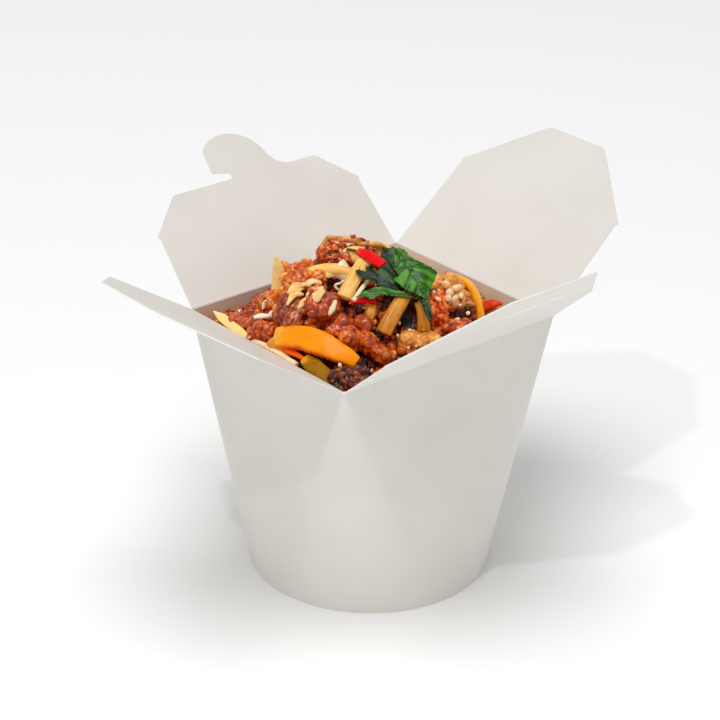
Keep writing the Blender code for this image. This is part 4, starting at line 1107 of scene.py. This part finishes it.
# ---- the parsley ----
# One sprig laid on top: a broad bright leaflet folded over a darker one, a narrow one to the left and
# a limp tail. Thin blades, toothed at the edge, puckered between pale veins, with a waxy sheen.

def turned(centre, yaw, pitch=0.0, roll=0.0):
    spin = Matrix.Rotation(math.radians(yaw), 4, "Z") @ Matrix.Rotation(math.radians(pitch), 4, "Y")
    return Matrix.Translation(centre) @ spin @ Matrix.Rotation(math.radians(roll), 4, "X")


def toothed(outline, bite, seed):
    """Breaks each side of the outline into small uneven teeth."""
    rng = random.Random(seed)
    found = []
    for i, point in enumerate(outline):
        here, following = Vector(point), Vector(outline[(i + 1) % len(outline)])
        side = following - here
        count = max(1, round(side.length / 1.7))
        out = Vector((side.y, -side.x)).normalized()
        for step in range(count):
            found.append(tuple(here + side * step / count))
            if count > 1 or side.length > 1.2:
                found.append(tuple(here + side * (step + 0.62) / count + out * bite * rng.uniform(0.3, 1.1)))
    return found


def vein_distance(point, veins):
    least = 99.0
    for start, end in veins:
        start, end = Vector(start), Vector(end)
        share = max(0.0, min(1.0, (point - start).dot(end - start) / max(0.01, (end - start).length_squared)))
        least = min(least, (point - start - (end - start) * share).length)
    return least


def leaf_blade(name, outline, veins, lift, cup, middle, finish, seed, bite=0.35):
    """Cuts the blade from a flat sheet, puckers it between its veins and cups it about its middle."""
    sheet = bmesh.new()
    sheet.faces.new([sheet.verts.new((x, y, 0.0)) for x, y in toothed(outline, bite, seed)])
    sheet.normal_update()
    bmesh.ops.triangulate(sheet, faces=sheet.faces)
    xs, ys = [x for x, y in outline], [y for x, y in outline]
    for step in range(int((max(xs) - min(xs)) / 0.7)):
        cut_across(sheet, (min(xs) + 0.7 * (step + 0.5), 0, 0), (1, 0, 0))
    for step in range(int((max(ys) - min(ys)) / 0.7)):
        cut_across(sheet, (0, min(ys) + 0.7 * (step + 0.5), 0), (0, 1, 0))
    bmesh.ops.triangulate(sheet, faces=sheet.faces)
    layer = sheet.verts.layers.float.new("vein")
    place = turned(above_rim(20.0, -6.0, 21.5), 49, 0, 34)
    for vertex in sheet.verts:
        flat = Vector((vertex.co.x, vertex.co.y))
        away = vein_distance(flat, veins)
        vertex[layer] = away
        pucker = 0.55 * min(1.0, away / 1.6) ** 0.7
        ripple = 0.5 * noise.noise(Vector((flat.x / 3.2, flat.y / 3.2, seed))) * min(1.0, away)
        spread = (flat - Vector(middle)).length_squared
        vertex.co = place @ (Vector((flat.x, flat.y, lift(flat) - cup * spread + pucker + ripple)) * MM)
    mesh = bpy.data.meshes.new(name)
    bmesh.ops.recalc_face_normals(sheet, faces=sheet.faces)
    sheet.to_mesh(mesh)
    sheet.free()
    mesh.materials.append(finish)
    mesh.shade_smooth()
    blade = bpy.data.objects.new(name, mesh)
    bpy.context.scene.collection.objects.link(blade)
    thicken = blade.modifiers.new("thickness", "SOLIDIFY")
    thicken.thickness = 0.35 * MM
    thicken.offset = 0.0
    return blade


def leaf_finish(name, blade, deep, vein):
    finish = Finish(name, Coat_Roughness=0.2, Specular_IOR_Level=0.25)
    away = finish.attribute("vein")
    shade = finish.step(finish.noise(0.004, 3.0) + (finish.step(away, 0.3, 1.6) - 0.5) * 0.35, 0.35, 0.7)
    colour = finish.mix(shade, deep, blade)
    colour = finish.mix(finish.step(away, 0.30, 0.06) * 0.5, colour, vein)
    finish.wear(Base_Color=colour, Roughness=0.30 + finish.noise(0.002) * 0.2,
                Coat_Weight=finish.step(finish.noise(0.005), 0.45, 0.65) * 0.12)
    finish.bump(finish.noise(0.0008, 3.0), 0.00012, 0.6)
    return finish.material


bright_leaf = leaf_finish("bright_leaf", tone(78, 140, 26), tone(28, 80, 12), tone(120, 168, 66))
dark_leaf = leaf_finish("dark_leaf", tone(26, 70, 12), tone(6, 30, 2), tone(52, 92, 30))
front_outline = [(-1.0, 15.2), (1.2, 14.3), (3.2, 13.1), (5.4, 10.2), (7.6, 8.4), (10.5, 7.1), (13.2, 6.0), (15.7, 4.9),
                 (15.4, 3.2), (14.5, 0.4), (13.5, -2.7), (12.6, -5.3), (12.0, -8.9), (10.5, -8.0), (8.6, -7.0),
                 (6.1, -6.0), (3.7, -5.0), (1.2, -2.7), (-0.3, -1.3), (-1.4, 0.5), (1.2, 0.6), (0.5, 2.1),
                 (-1.0, 4.6), (-0.6, 7.4), (-1.0, 10.0), (0.3, 12.0)]
front_veins = [((-0.5, 13.5), (6.0, 3.0)), ((6.0, 3.0), (11.8, -8.0)), ((2.0, 9.5), (9.5, 7.4)), ((2.0, 9.5), (0.0, 5.2)),
               ((4.2, 6.0), (15.2, 4.4)), ((4.2, 6.0), (-0.8, 0.8)), ((6.2, 2.6), (14.0, 0.0)), ((6.2, 2.6), (3.8, -4.4)),
               ((8.6, -2.0), (13.0, -4.2)), ((8.6, -2.0), (7.8, -6.4))]
front_leaf = leaf_blade("front_leaflet", front_outline, front_veins, lambda p: 2.6 - 0.12 * max(0.0, p.x - 9) ** 1.6,
                        0.010, (6.0, 2.0), bright_leaf, 5)
back_outline = [(-5.7, 15.3), (-3.7, 15.6), (-2.4, 14.9), (-1.2, 15.5), (1.5, 13.0), (3.0, 5.0), (2.0, -2.0), (-1.0, -6.0),
                (-4.7, -2.5), (-6.6, -1.6), (-9.1, -0.2), (-11.3, 0.9), (-14.0, 2.9), (-15.4, 5.4), (-13.5, 5.5),
                (-11.0, 4.4), (-11.6, 7.6), (-9.1, 5.6), (-6.6, 4.4), (-5.2, 7.7), (-6.2, 10.0), (-5.7, 12.5)]
back_veins = [((2.0, -4.0), (-14.8, 5.0)), ((2.0, -2.0), (-4.0, 14.6)), ((-6.5, 0.9), (-11.0, 6.9)), ((0.4, 2.0), (-5.0, 7.2)),
              ((-1.2, 6.6), (1.2, 12.6)), ((-4.2, -0.6), (-6.4, -1.2)), ((-2.2, 9.2), (-5.4, 12.2))]
back_leaf = leaf_blade("back_leaflet", back_outline, back_veins, lambda p: 0.2 + 0.03 * p.x, 0.006, (-4.0, 4.0),
                       dark_leaf, 8)
left_outline = [(-14.8, -6.8), (-12.8, -5.3), (-10.3, -3.9), (-7.4, -3.0), (-4.7, -2.9), (-2.7, -3.9), (1.2, -4.4), (4.9, -5.8),
                (8.1, -7.2), (6.1, -7.3), (2.4, -6.9), (-1.2, -6.8), (-4.7, -6.4), (-6.6, -6.8), (-7.9, -8.3),
                (-9.4, -8.1), (-11.1, -7.1)]
left_veins = [((6.0, -6.6), (-14.4, -6.7)), ((-3.0, -5.4), (-9.8, -4.2)), ((-3.4, -5.6), (-8.0, -7.9))]
left_leaf = leaf_blade("left_leaflet", left_outline, left_veins, lambda p: 0.9 + 0.02 * p.x, 0.008, (-4.0, -5.5),
                       bright_leaf, 11)
tail_outline = [(8.1, -6.6), (9.8, -9.5), (11.0, -13.5), (12.7, -17.2), (13.9, -15.0), (12.9, -10.9), (12.2, -8.4), (10.5, -7.4)]
tail_leaf = leaf_blade("leaf_tail", tail_outline, [((9.8, -7.4), (12.8, -16.6))], lambda p: 0.6 + 0.06 * (p.y + 8), 0.0,
                       (11.0, -11.0), dark_leaf, 14, 0.2)
for leaf in (front_leaf, back_leaf, left_leaf, tail_leaf):
    seat(leaf, "leaf")
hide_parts("parsley_leaf")


# ---- noodles through the heap ----
# Long soft noodles tossed through the crumbs. They surface here and there, mostly over the back of
# the heap, and follow it in loose bends, half sunk in the sauce.

def food_skin():
    """The surface that loose things land on: the heap and every piece made so far."""
    points, faces, owners = [], [], []
    for piece in bpy.context.scene.objects:
        if piece.get("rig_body") != "carton" or "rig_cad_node" in piece or piece.type != "MESH":
            continue
        if piece.name in ("carton_shell", "upright_pepper_sliver"):
            continue
        first = len(points)
        points.extend(vertex.co.copy() for vertex in piece.data.vertices)
        faces.extend(tuple(first + i for i in face.vertices) for face in piece.data.polygons)
        owners.extend([piece.name] * len(piece.data.polygons))
    return BVHTree.FromPolygons(points, faces), owners


def drop(skin, x, y):
    """The highest point of the food at (x, y), in mm above the rim."""
    hit = skin.ray_cast(above_rim(x, y, 60), Vector((0, 0, -1)))[0]
    return (hit.z - HEIGHT) / MM if hit else HEAP_EDGE


def noodle_paths(skin, count, seed):
    rng = random.Random(seed)
    paths = []
    while len(paths) < count:
        x, y = rng.uniform(-40, 30), rng.uniform(-30, 46)
        heading, bend_rate = rng.uniform(0, 2 * math.pi), 0.0
        flat = []
        for step in range(rng.randint(18, 34)):
            flat.append((x, y))
            bend_rate = 0.8 * bend_rate + rng.gauss(0, 0.10)
            heading += bend_rate
            if abs(x + 4 * math.cos(heading)) > 42 or abs(y + 4 * math.sin(heading)) > 48:
                heading += 0.9
            x, y = x + 1.8 * math.cos(heading), y + 1.8 * math.sin(heading)
            x, y = max(-43.5, min(43.5, x)), max(-49.5, min(49.5, y))
        if min(py - 0.9 * px for px, py in flat) < 9:
            continue
        heights = [drop(skin, *spot) for spot in flat]
        smooth = []
        for i in range(len(flat)):
            near = heights[max(0, i - 3):i + 4]
            smooth.append(0.5 * max(near) + 0.5 * sum(near) / len(near))
        smooth[0] -= 2.5
        smooth[-1] -= 2.5
        paths.append([above_rim(px, py, z + 0.3) for (px, py), z in zip(flat, smooth)])
    return paths


def noodle_recipe():
    """Sweeps an oval section along each path, thinner here and there."""
    recipe = Recipe("noodle_strands", Thickness=0.0026)
    curve = recipe.make("GeometryNodeMeshToCurve", {"Mesh": recipe.given("Geometry")})
    curve = recipe.make("GeometryNodeCurveSplineType", {"Curve": curve}, spline_type="CATMULL_ROM")
    curve = recipe.make("GeometryNodeResampleCurve", {"Curve": curve, "Count": 90})
    swell = recipe.make("ShaderNodeTexNoise", {"Scale": 90.0}) * 0.4 + 0.8
    curve = recipe.make("GeometryNodeSetCurveRadius", {"Curve": curve, "Radius": swell})
    section = recipe.make("GeometryNodeCurvePrimitiveCircle",
                          {"Resolution": 10, "Radius": recipe.given("Thickness") * 0.5})
    section = recipe.make("GeometryNodeTransform", {"Geometry": section, "Scale": (1.15, 0.85, 1.0)})
    body = recipe.make("GeometryNodeCurveToMesh", {"Curve": curve, "Profile Curve": section, "Fill Caps": True,
                                                   "Scale": swell})
    recipe.serve(body)
    return recipe


def path_mesh(name, paths):
    points, edges = [], []
    for path in paths:
        edges += [(len(points) + i, len(points) + i + 1) for i in range(len(path) - 1)]
        points += path
    mesh = bpy.data.meshes.new(name)
    mesh.from_pydata([tuple(point) for point in points], edges, [])
    return mesh


tossed_noodle = noodle_finish("tossed_noodle", tone(244, 190, 104), tone(206, 124, 44), 0.6)
skin, owners = food_skin()
strands = noodle_recipe().cook("tossed_noodles", path_mesh("noodle_paths", noodle_paths(skin, 26, 4)), tossed_noodle)
seat(strands, "noodle")


# ---- crumbs, seeds and herbs ----
# What falls between and on the pieces: crumbs of meat, chopped nut, diced pepper, chopped herbs and
# a few hulled seeds. Each kind is one piece, every bit of it at its true size.

def bed(name, spots, facings):
    """Loose points, each with the way the food faces there."""
    mesh = bpy.data.meshes.new(name)
    mesh.from_pydata([tuple(spot) for spot in spots], [], [])
    mesh.attributes.new("facing", "FLOAT_VECTOR", "POINT").data.foreach_set(
        "vector", [part for facing in facings for part in facing])
    return mesh


def landing_spots(name, skin, owners, count, seed, apart, onto, reach=60):
    """Points on the pieces named in onto where a falling bit comes to rest."""
    rng = random.Random(seed)
    spots, facings = [], []
    for attempt in range(count * 60):
        if len(spots) == count:
            break
        x, y = rng.uniform(-43, 43), rng.uniform(-49.5, 49.5)
        turn, lean = rng.uniform(0, 2 * math.pi), math.radians(rng.uniform(0, reach))
        from_above = Vector((math.cos(turn) * math.sin(lean), math.sin(turn) * math.sin(lean), math.cos(lean)))
        aim = above_rim(x, y, heap_level(x, y) + swell(x, y) - HEAP_SINK)
        hit, facing, face = skin.ray_cast(aim + from_above * 0.07, -from_above)[:3]
        if hit is None or facing.dot(from_above) < 0.1 or not owners[face].endswith(onto):
            continue
        local = (hit - axis) / MM
        if abs(local.x) > 44.0 or abs(local.y) > 50.0 or hit.z < HEIGHT - 14 * MM:
            continue
        if max(abs(local.x) - 37.0, abs(local.y) - 43.0) > 0.0 and hit.z > HEIGHT - 1.5 * MM:
            continue
        if pit(local.x, local.y) > 1.8 or any((hit - other).length < apart * MM for other in spots):
            continue
        spots.append(hit)
        facings.append(facing)
    return bed(name, spots, facings)


def scatter_recipe():
    """Sets an uneven ball on each spot, turned to its surface, and gives every one its own shape."""
    recipe = Recipe("scattered_bits", Smallest=0.001, Largest=0.003, Shape=(1.0, 1.0, 1.0), Unevenness=0.3,
                    Sunk=0.2, Seed=1, Detail=2)
    spots, seed = recipe.given("Geometry"), recipe.given("Seed")
    ball = recipe.make("GeometryNodeMeshIcoSphere", {"Radius": 0.5, "Subdivisions": recipe.given("Detail")})
    facing = recipe.make("GeometryNodeInputNamedAttribute", {"Name": "facing"}, data_type="FLOAT_VECTOR")
    upright = recipe.make("FunctionNodeAlignRotationToVector", {"Vector": facing}, axis="Z")
    spin = recipe.make("FunctionNodeRandomValue", {0: (0.0, 0.0, 0.0), 1: (0.5, 0.5, 6.28), "Seed": seed},
                       data_type="FLOAT_VECTOR")
    turning = recipe.make("FunctionNodeRotateRotation", {"Rotation": upright, "Rotate By": spin},
                          rotation_space="LOCAL")
    size = recipe.make("FunctionNodeRandomValue", {"Min": recipe.given("Smallest"), "Max": recipe.given("Largest"),
                                                   "Seed": seed + 7}, 1)
    uneven = recipe.make("FunctionNodeRandomValue", {0: (0.65, 0.65, 0.65), 1: (1.3, 1.3, 1.3), "Seed": seed + 5},
                         data_type="FLOAT_VECTOR")
    scale = recipe.make("ShaderNodeVectorMath", {0: recipe.given("Shape"), 1: uneven}, operation="MULTIPLY")
    scale = recipe.make("ShaderNodeVectorMath", {0: scale, "Scale": size}, operation="SCALE")
    bits = recipe.make("GeometryNodeInstanceOnPoints", {"Points": spots, "Instance": ball, "Rotation": turning,
                                                        "Scale": scale})
    into = recipe.make("ShaderNodeVectorMath", {0: facing, "Scale": size * (0.5 - recipe.given("Sunk"))},
                       operation="SCALE")
    bits = recipe.make("GeometryNodeTranslateInstances", {"Instances": bits, "Translation": into,
                                                          "Local Space": False})
    shade = recipe.make("FunctionNodeRandomValue", {"Min": -0.25, "Max": 0.45, "Seed": seed + 3}, 1)
    inputs = {"Geometry": bits, "Name": "relief", "Value": shade}
    bits = recipe.make("GeometryNodeStoreNamedAttribute", inputs, data_type="FLOAT", domain="INSTANCE")
    bits = recipe.make("GeometryNodeRealizeInstances", {"Geometry": bits})
    lumps = recipe.make("ShaderNodeTexNoise", {"Scale": 620.0, "Detail": 2.0, "Roughness": 0.7}, 1)
    lumps = recipe.make("ShaderNodeVectorMath", {0: lumps, 1: (0.5, 0.5, 0.5)}, operation="SUBTRACT")
    lumps = recipe.make("ShaderNodeVectorMath", {0: lumps, "Scale": recipe.given("Unevenness") * recipe.given("Largest")},
                        operation="SCALE")
    recipe.serve(recipe.make("GeometryNodeSetPosition", {"Geometry": bits, "Offset": lumps}))
    return recipe


scatter = scatter_recipe()
skin, owners = food_skin()
herb = Finish("chopped_herb", Specular_IOR_Level=0.5, Coat_Weight=0.3, Coat_Roughness=0.15)
herb.wear(Base_Color=herb.mix(herb.step(herb.noise(0.002), 0.4, 0.6), tone(12, 40, 12), tone(52, 96, 34)),
          Roughness=0.3 + herb.noise(0.001) * 0.2)
seed_coat = Finish("hulled_seed", Specular_IOR_Level=0.4, Coat_Weight=0.2, Coat_Roughness=0.2)
seed_coat.wear(Base_Color=seed_coat.mix(seed_coat.step(seed_coat.noise(0.002), 0.4, 0.7), tone(255, 236, 204),
                                        tone(238, 200, 148)), Roughness=0.35 + seed_coat.noise(0.001) * 0.2)
bean_skin = Finish("pale_bean", Specular_IOR_Level=0.5, Coat_Roughness=0.06, Subsurface_Weight=0.3,
                   Subsurface_Radius=(1.0, 0.6, 0.3), Subsurface_Scale=0.002)
bean_skin.wear(Base_Color=bean_skin.mix(bean_skin.step(bean_skin.noise(0.003), 0.35, 0.7), tone(250, 218, 170),
                                        tone(240, 176, 108)), Roughness=0.2 + bean_skin.noise(0.001) * 0.15,
               Coat_Weight=bean_skin.noise(0.004))
BITTY, MEATY = ("core", "noodles"), ("core", "morsel")
SCATTERED = [
    # name, slot, finish, count, apart mm, lands on, smallest and largest mm, shape, unevenness, sunk
    ("meat_crumbs", "meat", red_brown, 700, 1.5, ("core",), 2.0, 4.8, (1.0, 0.7, 0.6), 0.9, 0.35),
    ("dark_crumbs", "meat", shaded_corner_meat, 160, 1.5, ("core",), 1.6, 4.0, (1.0, 0.7, 0.6), 0.9, 0.35),
    ("pale_crumbs", "crumb", tan_crumb, 90, 2.5, BITTY, 1.2, 3.0, (1.0, 0.7, 0.6), 0.8, 0.3),
    ("orange_crumbs", "carrot", orange_crumb, 70, 3.0, BITTY, 1.4, 3.6, (1.0, 0.8, 0.5), 0.8, 0.3),
    ("herb_flakes", "leaf", herb, 30, 6.0, MEATY, 2.0, 4.2, (1.0, 0.55, 0.10), 0.2, 0.45),
    ("seeds", "noodle", seed_coat, 22, 8.0, MEATY, 1.8, 2.6, (1.0, 0.55, 0.4), 0.06, 0.3),
]
for seed, (name, slot, finish, count, apart, onto, small, large, shape, uneven, sunk) in enumerate(SCATTERED):
    spots = landing_spots(name, skin, owners, count, 40 + seed, apart, onto)
    material = finish.material if isinstance(finish, Finish) else finish
    bits = scatter.cook(name, spots, material, Smallest=small * MM, Largest=large * MM, Shape=shape,
                        Unevenness=uneven, Sunk=sunk, Seed=seed)
    seat(bits, slot)

# The few bigger ones lie where they fell: grains along the front, beans in the right-hand cluster.
PLACED = [
    # name, slot, finish, smallest and largest mm, shape, where each lies
    ("front_grains", "noodle", seed_coat, 1.7, 2.6, (1.0, 0.7, 0.6), [
        (29.3, -12.6, 4.7), (31.9, -12.9, 2.2), (34.2, -11.7, 1.8), (36.6, -9.7, 2.4), (32.8, 15.3, 10.4),
        (35.6, 11.9, 6.6), (28.6, 5.5, 17.0), (31.6, 5.1, 15.4), (35.4, 17.2, 7.4), (26.6, -9.6, 8.0),
        (31.4, -42.3, 2.2)]),
    ("pale_beans", "crumb", bean_skin, 3.4, 4.6, (1.0, 0.85, 0.7), [
        (30.6, 11.8, 15.6), (29.0, 16.6, 12.8), (31.4, 17.0, 13.4), (29.4, 15.6, 10.6), (32.6, 9.2, 14.8),
        (29.6, 15.8, 16.0), (27.4, 12.6, 17.6), (31.6, 13.4, 13.0)]),
    ("glazed_bead", "meat", red_brown, 4.4, 4.6, (1.0, 0.95, 0.9), [(37.4, -25.4, 3.4)]),
]
for seed, (name, slot, finish, small, large, shape, places) in enumerate(PLACED):
    spots = bed(name, [above_rim(*place) for place in places], [(0.5, -0.4, 0.7)] * len(places))
    material = finish.material if isinstance(finish, Finish) else finish
    bits = scatter.cook(name, spots, material, Smallest=small * MM, Largest=large * MM, Shape=shape,
                        Unevenness=0.12, Sunk=0.4, Seed=seed + 20)
    seat(bits, slot)
